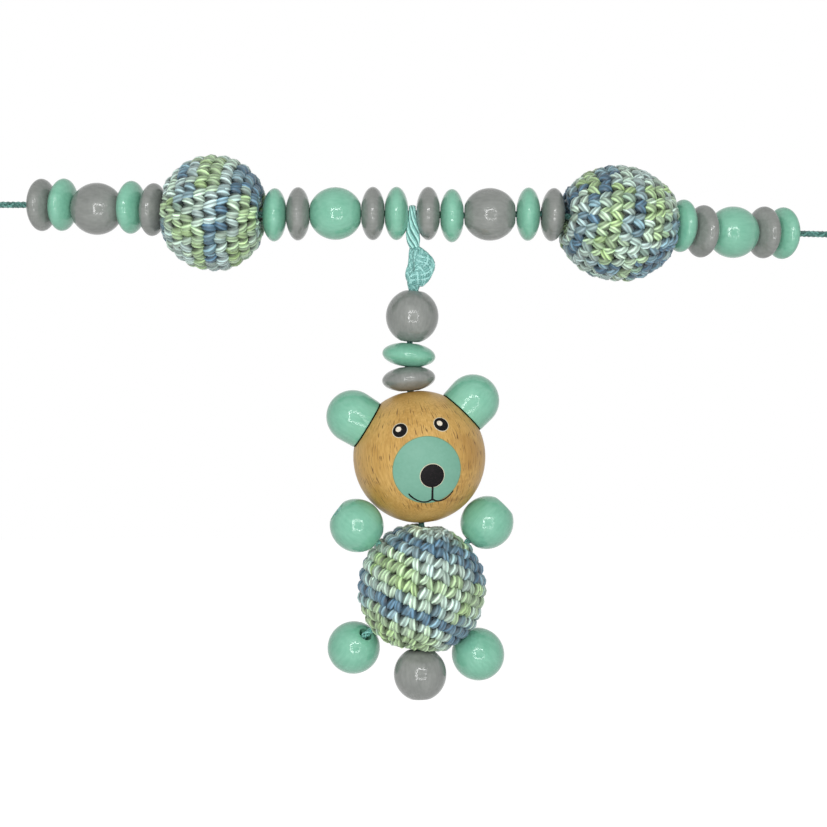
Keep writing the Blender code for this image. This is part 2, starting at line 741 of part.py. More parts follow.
def build_clip(side, end, axis):
    matrix = clip_matrix(end, axis)
    build_clip_base(side, matrix)
    pin_seat = Matrix.Translation(Vector((PIN_X, -PIN_OUT, 0)) * MM)
    pin = part(side + "_clip_pin", profile_mesh("clip_pin", pin_profile(), False), "steel")
    turn_profile(pin, 12)
    pin.matrix_world = matrix @ pin_seat
    # The lever's plate, the eye round the pin and the toe that bites on the pad
    over = -(DISC_OUT - PLAY)
    under = over + LEVER_THICKNESS
    eye = PIN_RADIUS + EYE_WALL
    lever = [(LEVER_TO, under), (LEVER_TO, over), (PIN_X, over)]
    lever += arc((PIN_X, -PIN_OUT), eye, 300, 420, 6)
    lever += arc((PIN_X, -PIN_OUT), TOE_REACH, 88, 104, 2)
    lever += arc((PIN_X, -PIN_OUT), eye, 125, 200, 4)
    lever += [(PIN_X - eye - 0.9, under)]
    hole = arc((PIN_X, -PIN_OUT), PIN_HOLE_RADIUS, 0, 330, 11)
    plate = side_outline(side + "_clip_lever", "steel", [lever, hole], LEVER_WIDTH, matrix)
    low = -(PLATE_THICKNESS / 2.0 + PLAY)
    pad = [(PAD_FROM, low), (PAD_TO, low)]
    pitch = (PAD_TO - PAD_FROM) / PAD_TEETH
    for i in range(PAD_TEETH):
        pad.append((PAD_TO - pitch * i, low - PAD_TOOTH))
        pad.append((PAD_TO - pitch * (i + 0.5), low - PAD_TOOTH * 2.0))
    pad.append((PAD_FROM, low - PAD_TOOTH))
    side_outline(side + "_clip_pad", "plastic", [pad], PAD_WIDTH, matrix)
    disc = part(side + "_clip_disc", profile_mesh("clip_disc", disc_profile(), False), "mint")
    turn_profile(disc, 24)
    seat = Matrix.Translation(Vector((DISC_X, -DISC_OUT - DISC_THICKNESS / 2.0, 0)) * MM)
    disc.matrix_world = matrix @ seat @ Matrix.Rotation(math.radians(90), 4, "X")
    hang_on(side + "_clip_open", (matrix @ pin_seat).translation / MM, [plate, disc])
    return matrix


def build_end_knot(side, matrix):
    """The cord's loop through the clip's slot, with the knot that closes it."""
    bar = (PLATE_FROM + SLOT_FROM) / 2.0
    points = [Vector((x, y, 0)) for x, y in arc((bar, 0), END_LOOP_RADIUS, 0, 360, 14)[:-1]]
    curve = tube_curve(side + "_end_loop", points, CORD_RADIUS - 0.05, 1)
    curve.splines[0].use_cyclic_u = True
    knot = part(side + "_end_knot", curve_as_mesh(side + "_end_loop", curve), "braid")
    knot.matrix_world = matrix
    for i, (x, y, z, radii) in enumerate((
            (bar - 3.4, -0.3, 0.3, (1.7, 1.5, 2.0)), (bar - 4.9, 0.3, -0.3, (1.8, 1.6, 1.5)))):
        wrap = cutter(f"{side}_end_wrap_{i}", ball_mesh(f"{side}_end_wrap_{i}", radii, 8, 6),
                      "braid")
        wrap.matrix_world = matrix @ Matrix.Translation(Vector((x, y, z)) * MM)
        boolean(knot, wrap, "UNION")


clear_scene()
toy = new_collection("pram_chain_toy")
pivots = new_collection("pivots")
cutters = new_collection("cutters")
materials = {name: new_material(name, *finish) for name, finish in COLOURS.items()}

bead_meshes = {}
for colour_name in ("mint", "gray"):
    for shape_name, outline in (("lens", lens_profile()), ("round", ball_profile(BEAD_RADIUS, 8)),
                                ("sunk", ball_profile(BEAD_RADIUS, 8, True))):
        bead_mesh = profile_mesh(f"{colour_name}_{shape_name}", outline, True)
        bead_mesh.materials.append(materials[colour_name])
        bead_meshes[f"{colour_name} {shape_name}"] = bead_mesh

chains = {side: chain_pieces(side) for side in SIDES}
ends = cord_ends(chains)
for side in SIDES:
    build_chain_beads(chains[side], bead_meshes)
    build_chain_ball(side, chains[side])
build_main_cord(chains, ends)
clip_frames = {}
for side in SIDES:
    clip_frames[side] = build_clip(side, ends[side], chains[side][-1]["axis"])
    build_end_knot(side, clip_frames[side])

build_ribbon_loop("braid")
build_ribbon_knot("braid")
build_pendant_beads(bead_meshes)
build_pendant_cord()
build_head(PENDANT_POINTS[3], PENDANT_POINTS[4])
body_middle = build_body(PENDANT_POINTS[4], PENDANT_POINTS[5])
build_tail(bead_meshes["gray sunk"])
anchors = {name: build_limb(name, body_middle, bead_meshes["mint sunk"]) for name in LIMBS}
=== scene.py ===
import json
import random
from math import atan2, ceil, copysign, cos, hypot, pi, radians, sin, sqrt

import bmesh
import bpy
from mathutils import Matrix, Vector

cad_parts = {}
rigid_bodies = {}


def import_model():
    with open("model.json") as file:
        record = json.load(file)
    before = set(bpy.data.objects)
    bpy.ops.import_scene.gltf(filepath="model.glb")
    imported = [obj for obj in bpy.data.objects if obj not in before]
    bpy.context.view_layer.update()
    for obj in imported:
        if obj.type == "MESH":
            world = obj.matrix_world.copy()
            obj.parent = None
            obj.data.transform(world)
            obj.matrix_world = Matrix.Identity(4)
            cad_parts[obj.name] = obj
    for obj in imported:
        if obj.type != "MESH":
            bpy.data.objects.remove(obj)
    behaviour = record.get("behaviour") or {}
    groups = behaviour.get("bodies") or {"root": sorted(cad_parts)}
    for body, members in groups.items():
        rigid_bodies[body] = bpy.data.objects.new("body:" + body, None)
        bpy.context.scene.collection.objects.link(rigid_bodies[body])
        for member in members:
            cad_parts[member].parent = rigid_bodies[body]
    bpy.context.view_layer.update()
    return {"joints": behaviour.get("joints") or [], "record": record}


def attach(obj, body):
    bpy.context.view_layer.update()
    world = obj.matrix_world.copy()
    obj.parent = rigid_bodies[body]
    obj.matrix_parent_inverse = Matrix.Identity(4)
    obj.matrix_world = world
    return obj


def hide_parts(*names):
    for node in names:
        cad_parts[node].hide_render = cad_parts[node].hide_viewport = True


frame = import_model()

# Pram chain toy: the looks of its beads, crochet, braid, bear and clips.
# Lengths in the tables are in millimetres.

mm = 0.001
joints = {joint["name"]: joint for joint in frame["joints"]}
bodyNodes = frame["record"]["behaviour"]["bodies"]
bodyOf = {node: body for body, nodes in bodyNodes.items() for node in nodes}
mounts = {mount["name"]: mount for mount in frame["record"]["mounts"]}
front = Vector((0, -1, 0))


# Small helpers

def linear(red, green, blue):
    shades = []
    for value in (red, green, blue):
        share = value / 255.0
        shades.append(share / 12.92 if share <= 0.04045 else ((share + 0.055) / 1.055) ** 2.4)
    return (*shades, 1.0)


def clearPicks():
    if bpy.context.object and bpy.context.object.mode != "OBJECT":
        bpy.ops.object.mode_set(mode="OBJECT")
    bpy.ops.object.select_all(action="DESELECT")


def pickOnly(obj):
    clearPicks()
    obj.select_set(True)
    bpy.context.view_layer.objects.active = obj


def editing(kind="VERT"):
    bpy.ops.object.mode_set(mode="EDIT")
    bpy.ops.mesh.select_mode(type=kind)


def pick(obj, kind, test):
    bpy.ops.mesh.select_mode(type=kind)
    bpy.ops.mesh.select_all(action="DESELECT")
    shape = bmesh.from_edit_mesh(obj.data)
    for item in shape.verts if kind == "VERT" else shape.edges:
        item.select = test(item)
    shape.select_flush_mode()
    bmesh.update_edit_mesh(obj.data)


def pickEdges(obj, test):  # edges with both ends where the test holds
    pick(obj, "EDGE", lambda edge: all(test(vert.co) for vert in edge.verts))


def pickOpenEdges(obj):
    pick(obj, "EDGE", lambda edge: edge.is_boundary)


def pickAll():
    bpy.ops.mesh.select_all(action="SELECT")


def cut(height, direction, fill=False):  # takes away all that lies beyond a plane
    normal = Vector(direction).normalized()
    pickAll()
    bpy.ops.mesh.bisect(plane_co=normal * height, plane_no=normal, clear_outer=True,
                        use_fill=fill, threshold=1e-7)


def faceOut():
    pickAll()
    bpy.ops.mesh.normals_make_consistent(inside=False)
    bpy.ops.object.mode_set(mode="OBJECT")


def settle(obj, angle=35):
    pickOnly(obj)
    bpy.ops.object.transform_apply(location=True, rotation=True, scale=True)
    bpy.ops.object.shade_smooth_by_angle(angle=radians(angle))


def newObject(name, data):
    obj = bpy.data.objects.new(name, data)
    bpy.context.scene.collection.objects.link(obj)
    return obj


def newShape(name, add, **sizes):
    clearPicks()
    add(**sizes)
    bpy.context.object.name = name
    return bpy.context.object


def newBall(name, radius, segments, rings):
    return newShape(name, bpy.ops.mesh.primitive_uv_sphere_add, segments=segments,
                    ring_count=rings, radius=radius * mm)


def roundOff(width, segments):  # the picked edges
    bpy.ops.mesh.bevel(offset=width * mm, segments=segments, affect="EDGES")


def leanTo(axis):  # turns Z onto an axis
    return Vector((0, 0, 1)).rotation_difference(Vector(axis)).to_matrix()


def seatOf(jointName, turn=0.0):  # a frame on a joint, with its Z along the joint's axis
    joint = joints[jointName]
    return (Matrix.Translation(Vector(joint["pos_m"])) @ leanTo(joint["axis"]).to_4x4()
            @ Matrix.Rotation(radians(turn), 4, "Z"))


def setOnly(obj, material):
    obj.data.materials.clear()
    obj.data.materials.append(material)


def putOn(obj, *nodes, body=None):  # rides with the nodes' body and stands for them
    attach(obj, body or bodyOf[nodes[0]])
    if nodes:
        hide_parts(*nodes)


# Each point keeps its place in its piece's own frame, for the grain, before the piece is seated
def seatPiece(obj, seat, material, *nodes, body=None, shift=(0, 0, 0)):
    places = obj.data.attributes.new("ownPlace", "FLOAT_VECTOR", "POINT")
    for vert, item in zip(obj.data.vertices, places.data):
        item.vector = vert.co / mm + Vector(shift)
    obj.data.transform(seat)
    setOnly(obj, material)
    putOn(obj, *nodes, body=body)


def finishTurned(obj, *choices, **more):
    faceOut()
    settle(obj)
    seatPiece(obj, *choices, **more)


# Shader groups

def feed(tree, node, inputs):
    for label, value in inputs.items():
        if isinstance(value, bpy.types.NodeSocket):
            tree.links.new(value, node.inputs[label])
        else:
            node.inputs[label].default_value = value


def addNode(tree, kind, inputs=None, **settings):
    node = tree.nodes.new(kind)
    for name, value in settings.items():
        setattr(node, name, value)
    feed(tree, node, inputs or {})
    return node


def calc(tree, operation, first, second=0.0):
    return addNode(tree, "ShaderNodeMath", {0: first, 1: second}, operation=operation).outputs[0]


def noiseOf(tree, place, scale, detail=3.0, stretch=(1, 1, 1)):
    mapping = addNode(tree, "ShaderNodeMapping", {"Scale": stretch, "Vector": place})
    cloud = addNode(tree, "ShaderNodeTexNoise", {"Detail": detail, "Scale": scale,
                                                 "Vector": mapping.outputs["Vector"]})
    return cloud.outputs["Fac"]


def rampOf(tree, value, low, high):
    ramp = addNode(tree, "ShaderNodeMapRange", {"From Min": low, "From Max": high, "Value": value})
    return ramp.outputs["Result"]


def blendOf(tree, share, first, second, kind="MIX"):
    mix = addNode(tree, "ShaderNodeMix", {"Factor": share, "A": first, "B": second},
                  data_type="RGBA", blend_type=kind)
    return mix.outputs["Result"]


def newGroup(name, inputs, outputs):
    group = bpy.data.node_groups.new(name, "ShaderNodeTree")
    for way, labels in (("INPUT", inputs), ("OUTPUT", outputs)):
        for label in labels:
            kind = "NodeSocketVector" if label in ("Place", "Strand") else "NodeSocketFloat"
            group.interface.new_socket(label, in_out=way, socket_type=kind)
    return group, addNode(group, "NodeGroupInput"), addNode(group, "NodeGroupOutput")


def makeCloudGroup():  # soft unevenness of a dipped coat, with faint grain under it
    group, start, end = newGroup("coatClouding", ("Place", "Coarse", "Fine"),
                                 ("Clouding", "Dents"))
    place = start.outputs["Place"]
    coarse = noiseOf(group, place, start.outputs["Coarse"])
    grain = noiseOf(group, place, start.outputs["Fine"], 4.0, (1, 1, 0.25))
    both = calc(group, "ADD", calc(group, "MULTIPLY", coarse, 0.55),
                calc(group, "MULTIPLY", grain, 0.45))
    feed(group, end, {"Clouding": rampOf(group, both, 0.3, 0.7),
                      "Dents": noiseOf(group, place, 2.8)})
    return group


def makeStrandGroup():  # fibres laid along a strand: U runs along it, V round it
    group, start, end = newGroup("strandFibres", ("Strand", "Fineness"), ("Fibres",))
    fibres = noiseOf(group, start.outputs["Strand"], start.outputs["Fineness"], 3.0,
                     (0.2, 1.0, 1.0))
    feed(group, end, {"Fibres": rampOf(group, fibres, 0.3, 0.7)})
    return group


cloudGroup = makeCloudGroup()
strandGroup = makeStrandGroup()


# Materials

def newMaterial(name):
    material = bpy.data.materials.new(name)
    material.use_nodes = True
    tree = material.node_tree
    return material, tree, tree.nodes["Principled BSDF"]


def placeOf(tree, own=True):  # in millimetres, of the piece's own frame or of the whole toy
    if own:
        return addNode(tree, "ShaderNodeAttribute", attribute_name="ownPlace").outputs["Vector"]
    whole = addNode(tree, "ShaderNodeTexCoord").outputs["Object"]
    return addNode(tree, "ShaderNodeVectorMath", {"Scale": 1.0 / mm, 0: whole},
                   operation="SCALE").outputs[0]


def addBump(tree, shader, height, depth, strength=1.0):
    bump = addNode(tree, "ShaderNodeBump", {"Strength": strength, "Distance": depth * mm,
                                            "Height": height})
    feed(tree, shader, {"Normal": bump.outputs["Normal"]})


lacquerLook = {
    "roughness": 0.07,
    "gloss": 0.5,
    "dentDepth": 0.026,
    "coarse": 0.25,
    "fine": 1.4,
    "mint": ((112, 180, 152), (136, 199, 173)),
    "gray": ((122, 126, 122), (147, 150, 146)),
    "muzzle": ((116, 168, 147), (128, 178, 158)),
}


def makeLacquer(name, colours, look=lacquerLook):
    material, tree, shader = newMaterial(name)
    cloud = addNode(tree, "ShaderNodeGroup", node_tree=cloudGroup)
    feed(tree, cloud, {"Place": placeOf(tree), "Coarse": look["coarse"], "Fine": look["fine"]})
    colour = blendOf(tree, cloud.outputs["Clouding"], linear(*colours[0]), linear(*colours[1]))
    feed(tree, shader, {"Base Color": colour, "Roughness": look["roughness"],
                        "Specular IOR Level": look["gloss"]})
    addBump(tree, shader, cloud.outputs["Dents"], look["dentDepth"])
    return material


beechLook = {
    "pale": (214, 174, 102),
    "deep": (190, 147, 76),
    "ring": (158, 112, 52),
    "fleck": (92, 58, 24),
    "ringCentre": (-19.0, 27.0),
    "ringScale": 0.75,
    "girth": 13.5,
    "fleckScale": 4.2,
    "fleckDepth": 0.04,
    "fleckStrength": 0.88,
    "fleckFree": (6.0, 11.0),
    "ringStrength": 0.38,
    "roughness": 0.42,
    "gloss": 0.3,
}


def reachOf(tree, across, deep):  # how far from an axis a place lies
    squares = [calc(tree, "POWER", value, 2.0) for value in (across, deep)]
    return calc(tree, "SQRT", calc(tree, "ADD", *squares))


def makeBeech(name, own=True, look=beechLook):
    material, tree, shader = newMaterial(name)
    place = placeOf(tree, own)
    across, deep, along = addNode(tree, "ShaderNodeSeparateXYZ", {0: place}).outputs
    reach = reachOf(tree, *(calc(tree, "SUBTRACT", side, middle)
                            for side, middle in zip((across, deep), look["ringCentre"])))
    ringPlace = addNode(tree, "ShaderNodeCombineXYZ", {
        0: reach, 1: calc(tree, "MULTIPLY", across, 0.04),
        2: calc(tree, "MULTIPLY", along, 0.05)}).outputs[0]
    rings = noiseOf(tree, ringPlace, look["ringScale"])
    clouds = noiseOf(tree, place, 0.16, 2.0, (1, 1, 0.45))
    lines = noiseOf(tree, place, 2.4, 3.0, (1, 1, 0.07))
    tone = calc(tree, "MULTIPLY", calc(tree, "ADD", clouds, lines), 0.5)
    base = blendOf(tree, rampOf(tree, tone, 0.38, 0.62), linear(*look["deep"]),
                   linear(*look["pale"]))
    ringMask = calc(tree, "MULTIPLY", rampOf(tree, rings, 0.56, 0.68), look["ringStrength"])
    base = blendOf(tree, ringMask, base, linear(*look["ring"]))
    bearing = calc(tree, "ARCTAN2", across, deep)
    runPlace = addNode(tree, "ShaderNodeCombineXYZ", {
        0: calc(tree, "MULTIPLY", bearing, look["girth"]), 2: along}).outputs[0]
    flecks = noiseOf(tree, runPlace, look["fleckScale"], 1.0, (1, 1, 0.1))
    patches = rampOf(tree, noiseOf(tree, place, 0.22, 1.0, (1, 1, 0.5)), 0.3, 0.5)
    offAxis = rampOf(tree, reachOf(tree, across, deep), *look["fleckFree"])
    fleckMask = calc(tree, "MULTIPLY", rampOf(tree, flecks, 0.61, 0.67),
                     calc(tree, "MULTIPLY", patches, offAxis))
    colour = blendOf(tree, calc(tree, "MULTIPLY", fleckMask, look["fleckStrength"]), base,
                     linear(*look["fleck"]))
    feed(tree, shader, {"Base Color": colour, "Roughness": look["roughness"],
                        "Specular IOR Level": look["gloss"]})
    addBump(tree, shader, calc(tree, "SUBTRACT", lines, fleckMask), look["fleckDepth"], 0.6)
    return material


yarnShades = ((0.66, 0.73, 0.74, 1.0), (1.38, 1.38, 1.38, 1.0))


def makeYarn(name, roughness, sheen, depth, fineness):
    material, tree, shader = newMaterial(name)
    # the strand tints carry the painted shade and highlight of plies, leg sides and ends, and the
    # darkened underside
    tint = addNode(tree, "ShaderNodeAttribute", attribute_name="yarnTint").outputs["Color"]
    strand = addNode(tree, "ShaderNodeUVMap", uv_map="strand").outputs["UV"]
    fibres = addNode(tree, "ShaderNodeGroup", node_tree=strandGroup)
    feed(tree, fibres, {"Strand": strand, "Fineness": fineness})
    fibres = fibres.outputs["Fibres"]
    colour = blendOf(tree, 1.0, tint, blendOf(tree, fibres, *yarnShades), "MULTIPLY")
    feed(tree, shader, {"Base Color": colour, "Roughness": roughness, "Sheen Weight": sheen,
                        "Sheen Roughness": 0.4})
    addBump(tree, shader, fibres, depth)
    return material


def makePrint(name, colour, roughness, speckle, gloss):
    material, tree, shader = newMaterial(name)
    specks = rampOf(tree, noiseOf(tree, placeOf(tree), 3.2), 0.5, 0.75)
    colour = blendOf(tree, specks, linear(*colour), linear(*speckle))
    feed(tree, shader, {"Base Color": colour, "Roughness": roughness,
                        "Specular IOR Level": gloss})
    addBump(tree, shader, specks, 0.02)
    return material


steelLook = {"colour": (186, 186, 184), "roughness": 0.3, "streaks": 0.02}


def makeSteel(look=steelLook):
    material, tree, shader = newMaterial("clipSteel")
    place = addNode(tree, "ShaderNodeTexCoord").outputs["Object"]
    streaks = noiseOf(tree, place, 900.0, 3.0, (0.06, 1, 1))
    rough = calc(tree, "ADD", calc(tree, "MULTIPLY", streaks, 0.18), look["roughness"] - 0.09)
    feed(tree, shader, {"Base Color": linear(*look["colour"]), "Metallic": 1.0,
                        "Roughness": rough})
    addBump(tree, shader, streaks, look["streaks"], 0.5)
    return material


def makePadPlastic():
    material, tree, shader = newMaterial("padPlastic")
    place = addNode(tree, "ShaderNodeTexCoord").outputs["Object"]
    colour = blendOf(tree, noiseOf(tree, place, 400.0), linear(214, 214, 208),
                     linear(232, 232, 228))
    feed(tree, shader, {"Base Color": colour, "Roughness": 0.5})
    addBump(tree, shader, noiseOf(tree, place, 2500.0, 2.0), 0.01)
    return material


mintLacquer = makeLacquer("mintLacquer", lacquerLook["mint"])
grayLacquer = makeLacquer("grayLacquer", lacquerLook["gray"])
beech = makeBeech("beech")
coreBeech = makeBeech("coreBeech", own=False)
cotton = makeYarn("cotton", 0.36, 0.15, 0.04, 2.4)
braid = makeYarn("braid", 0.33, 0.2, 0.03, 5.0)
blackPrint = makePrint("blackPrint", (9, 8, 9), 0.45, (34, 26, 30), 0.12)
whitePrint = makePrint("whitePrint", (236, 226, 208), 0.5, (186, 172, 150), 0.3)
palePrint = makePrint("palePrint", (222, 214, 190), 0.5, (210, 200, 172), 0.3)
mintEdge = makePrint("mintEdge", (116, 146, 108), 0.55, (108, 138, 100), 0.3)
# near-black for the ear seams: partly glue and partly painted shade in the gap
glue = makePrint("glue", (14, 24, 12), 0.7, (10, 18, 10), 0.1)
clipSteel = makeSteel()
padPlastic = makePadPlastic()
lacquers = {"mint": mintLacquer, "gray": grayLacquer}
print("materials ready")


# Beads

beadShape = {
    "radius": 6.03,
    "length": 11.62,
    "bore": 1.6,
    "mouth": 2.1,
    "lensRadius": 6.1,
    "lensLength": 5.31,
    "thickLength": 5.5,
    "sinkRadius": 2.65,
    "sinkDepth": 1.5,
    "rim": 0.22,
    "around": 56,
    "rings": 36,
}


def makeBead(name, radius, length, sunk=False, shape=beadShape):
    bore = shape["bore"]
    mouths = {1: shape["sinkRadius"] if sunk else shape["mouth"], -1: shape["mouth"]}
    flat = length / 2 / sqrt(radius ** 2 - shape["mouth"] ** 2)
    bead = newBall(name, radius, shape["around"], shape["rings"])
    editing()
    pickAll()
    bpy.ops.transform.resize(value=(1, 1, flat))
    rims = []
    for end, mouth in mouths.items():
        height = flat * sqrt(radius ** 2 - mouth ** 2)
        cut(height * mm, (0, 0, end))
        pickEdges(bead, lambda place: abs(place.z / mm - end * height) < 0.002)
        sink = shape["sinkDepth"] if sunk and end > 0 else 0.0
        bpy.ops.mesh.extrude_edges_move(
            TRANSFORM_OT_translate={"value": (0, 0, -end * sink * mm)})
        bpy.ops.transform.resize(value=(bore / mouth, bore / mouth, 1))
        rims.append((end * height, mouth))
    pickOpenEdges(bead)
    bpy.ops.mesh.bridge_edge_loops()
    pickEdges(bead, lambda place: any(
        abs(place.z / mm - height) < 0.002 and place.xy.length / mm > mouth - 0.05
        for height, mouth in rims))
    roundOff(shape["rim"], 3)
    faceOut()
    settle(bead)
    return bead


patterns = {
    "lens": makeBead("lensPattern", beadShape["lensRadius"], beadShape["lensLength"]),
    "thick": makeBead("thickPattern", beadShape["lensRadius"], beadShape["thickLength"]),
    "round": makeBead("roundPattern", beadShape["radius"], beadShape["length"]),
    "sunk": makeBead("sunkPattern", beadShape["radius"], beadShape["length"], sunk=True),
}
turner = random.Random(5)
for jointName in joints:
    if not jointName.endswith("_spin"):
        continue
    body = joints[jointName]["child"]
    node = bodyNodes[body][0]
    if body in ("head", "body") or node.endswith("_core"):
        continue
    kind = "lens" if "lens" in node else "round"
    if node == "pendant_gray_lens":
        kind = "thick"
    if node == "tail_bead" or node.endswith(("arm_bead", "leg_bead")):
        kind = "sunk"
    colour = "gray" if "gray" in node or node == "tail_bead" else "mint"
    shift = [turner.uniform(-60, 60) for _ in range(3)]
    bead = newObject(node + "_turned", patterns[kind].data.copy())
    seatPiece(bead, seatOf(jointName, turner.uniform(0, 360)), lacquers[colour], node,
              shift=shift)
for pattern in patterns.values():
    bpy.data.objects.remove(pattern)
print("beads ready")


# Bear's head

headShape = {
    "radius": 15.09,
    "bore": 1.6,
    "yaw": 5.5,
    "earLean": {"left": -50.6, "right": 52.2},
    "earFlat": 13.95,
    "earRadius": 6.05,
    "earBase": 5.9,
    "earHeight": 9.75,
    "seam": 0.15,
    "seamRadius": 5.78,
    "seamDepth": 0.34,
    "seamRim": 0.05,
    "rim": 0.3,
    "flatRim": 0.14,
    "earRim": 0.18,
    "around": 112,
    "rings": 72,
}
headSeat = seatOf("head_spin", headShape["yaw"])


def makeHead(shape=headShape):
    radius = shape["radius"]
    end = sqrt(radius ** 2 - shape["bore"] ** 2)
    head = newBall("head_wood", radius, shape["around"], shape["rings"])
    editing()
    cut(end * mm, (0, 0, 1))
    cut(end * mm, (0, 0, -1))
    pickOpenEdges(head)
    bpy.ops.mesh.bridge_edge_loops()
    pickEdges(head, lambda place: abs(abs(place.z / mm) - end) < 0.002)
    roundOff(shape["rim"], 3)
    flat = shape["earFlat"] - shape["seam"]
    for lean in shape["earLean"].values():
        lean = radians(lean)
        normal = Vector((sin(lean), 0, cos(lean)))
        cut(flat * mm, normal, fill=True)
        pickEdges(head, lambda place: abs(place.dot(normal) / mm - flat) < 0.002)
        roundOff(shape["flatRim"], 2)
    finishTurned(head, headSeat, beech, "head")


def makeEar(side, shape=headShape):
    radius = shape["earRadius"]
    drop = shape["earHeight"] - radius
    ear = newBall(side + "_ear_dome", radius, 64, 40)
    editing()
    cut(0.0, (0, 0, -1))
    pickOpenEdges(ear)
    bpy.ops.mesh.extrude_edges_move(TRANSFORM_OT_translate={"value": (0, 0, -drop * mm)})
    taper = shape["earBase"] / radius
    bpy.ops.transform.resize(value=(taper, taper, 1))
    bpy.ops.mesh.edge_face_add()
    pickEdges(ear, lambda place: abs(place.z / mm + drop) < 0.002)
    roundOff(shape["earRim"], 3)
    pickAll()
    bpy.ops.transform.translate(value=(0, 0, drop * mm))
    lean = headSeat @ Matrix.Rotation(radians(shape["earLean"][side]), 4, "Y")
    seat = lean @ Matrix.Translation((0, 0, (shape["earFlat"] + shape["seam"]) * mm))
    finishTurned(ear, seat, mintLacquer, side + "_ear",
                 shift=(31 if side == "left" else -31, 7, 3))
    # a near-black disc in the seam under each ear, partly glue and partly painted shade
    seam = newShape(side + "_ear_seam", bpy.ops.mesh.primitive_cylinder_add, vertices=48,
                    radius=shape["seamRadius"] * mm, depth=shape["seamDepth"] * mm)
    editing("EDGE")
    pickAll()
    roundOff(shape["seamRim"], 2)
    finishTurned(seam, lean @ Matrix.Translation((0, 0, shape["earFlat"] * mm)), glue,
                 body="head")


# Printed face: each spot's direction out and up from the front in degrees, its radius and
# how far it stands off the wood

face = {
    "muzzle": (0.0, -12.9, 7.6, 0.05),
    "muzzle_edge": (0.0, -12.9, 7.74, 0.02),
    "nose_edge": (3.5, -17.0, 2.84, 0.08),
    "nose": (3.5, -17.0, 2.7, 0.14),
    "left_eye_edge": (-20.3, 26.3, 1.83, 0.025),
    "right_eye_edge": (20.3, 26.3, 1.83, 0.025),
    "left_eye": (-20.3, 26.3, 1.68, 0.05),
    "right_eye": (20.3, 26.3, 1.68, 0.05),
    "left_glint": (-21.6, 27.3, 0.68, 0.08),
    "right_glint": (19.0, 27.3, 0.68, 0.08),
}
# Each place's direction out and up, and its share of the line's width
smile = {
    "lift": 0.12,
    "width": 0.21,
    "curve": ((-21.3, -30.2, 0.9), (-20.2, -32.5, 1.2), (-17.0, -36.3, 1.1), (-13.2, -39.2, 1.0),
              (-9.0, -41.0, 1.0), (-3.5, -41.4, 1.1), (1.9, -40.0, 1.3), (6.0, -42.0, 1.1),
              (10.0, -42.6, 1.0), (14.5, -42.2, 0.95), (18.5, -40.6, 0.9), (22.3, -37.7, 0.85),
              (25.5, -34.0, 0.7)),
    "line": ((3.0, -25.5, 1.3), (2.4, -32.8, 1.25), (1.9, -40.3, 1.4)),
}


def faceDirection(out, up):
    out = radians(out)
    up = radians(up)
    return Vector((cos(up) * sin(out), -cos(up) * cos(out), sin(up)))


def printSpot(name, material):
    out, up, size, lift = face[name]
    radius = headShape["radius"] + lift
    piece = newBall("face_" + name, radius, 72, 128)
    editing()
    cut(-sqrt(radius ** 2 - size ** 2) * mm, (0, 0, -1), fill=True)
    aim = leanTo(faceDirection(out, up)).to_4x4()
    finishTurned(piece, headSeat @ aim, material, body="head")


def printStroke(name, stroke, material):
    curve = bpy.data.curves.new(name, "CURVE")
    curve.dimensions = "3D"
    curve.bevel_depth = smile["width"] * mm
    curve.bevel_resolution = 2
    curve.resolution_u = 6
    curve.use_fill_caps = True
    spline = curve.splines.new("BEZIER")
    spline.bezier_points.add(len(stroke) - 1)
    radius = (headShape["radius"] + smile["lift"] - smile["width"] * 0.7) * mm
    for point, (out, up, width) in zip(spline.bezier_points, stroke):
        point.co = headSeat @ (faceDirection(out, up) * radius)
        point.radius = width
        point.handle_left_type = point.handle_right_type = "AUTO"
    pickOnly(newObject("face_" + name, curve))
    bpy.ops.object.convert(target="MESH")
    seatPiece(bpy.context.object, Matrix(), material, body="head")


makeHead()
for side in headShape["earLean"]:
    makeEar(side)
    printSpot(side + "_eye_edge", palePrint)
    printSpot(side + "_eye", blackPrint)
    printSpot(side + "_glint", whitePrint)
muzzlePaint = makeLacquer("muzzlePaint", lacquerLook["muzzle"],
                          {**lacquerLook, "roughness": 0.4, "gloss": 0.15})
printSpot("muzzle_edge", mintEdge)
printSpot("muzzle", muzzlePaint)
printSpot("nose_edge", palePrint)
printSpot("nose", blackPrint)
printStroke("smile", smile["curve"], blackPrint)
printStroke("mouth_line", smile["line"], blackPrint)
print("head ready")


# Strands: yarn and cord are laid along worked-out paths in mesh code, since plies that
# twist over a dimpled ball can't be extruded by hand

# how far round a strand's sides its painted side shade reaches
creviceWidth = 1.25


def newStrands():  # corners, faces, places along and round the strand, and tints
    return [], [], [], []


def stepAt(path, i):
    return path[min(i + 1, len(path) - 1)] - path[max(i - 1, 0)]


def frameAt(path, i, rise):  # the side and the rise that stand square to a path
    along = stepAt(path, i).normalized()
    side = along.cross(rise).normalized()
    return side, side.cross(along)
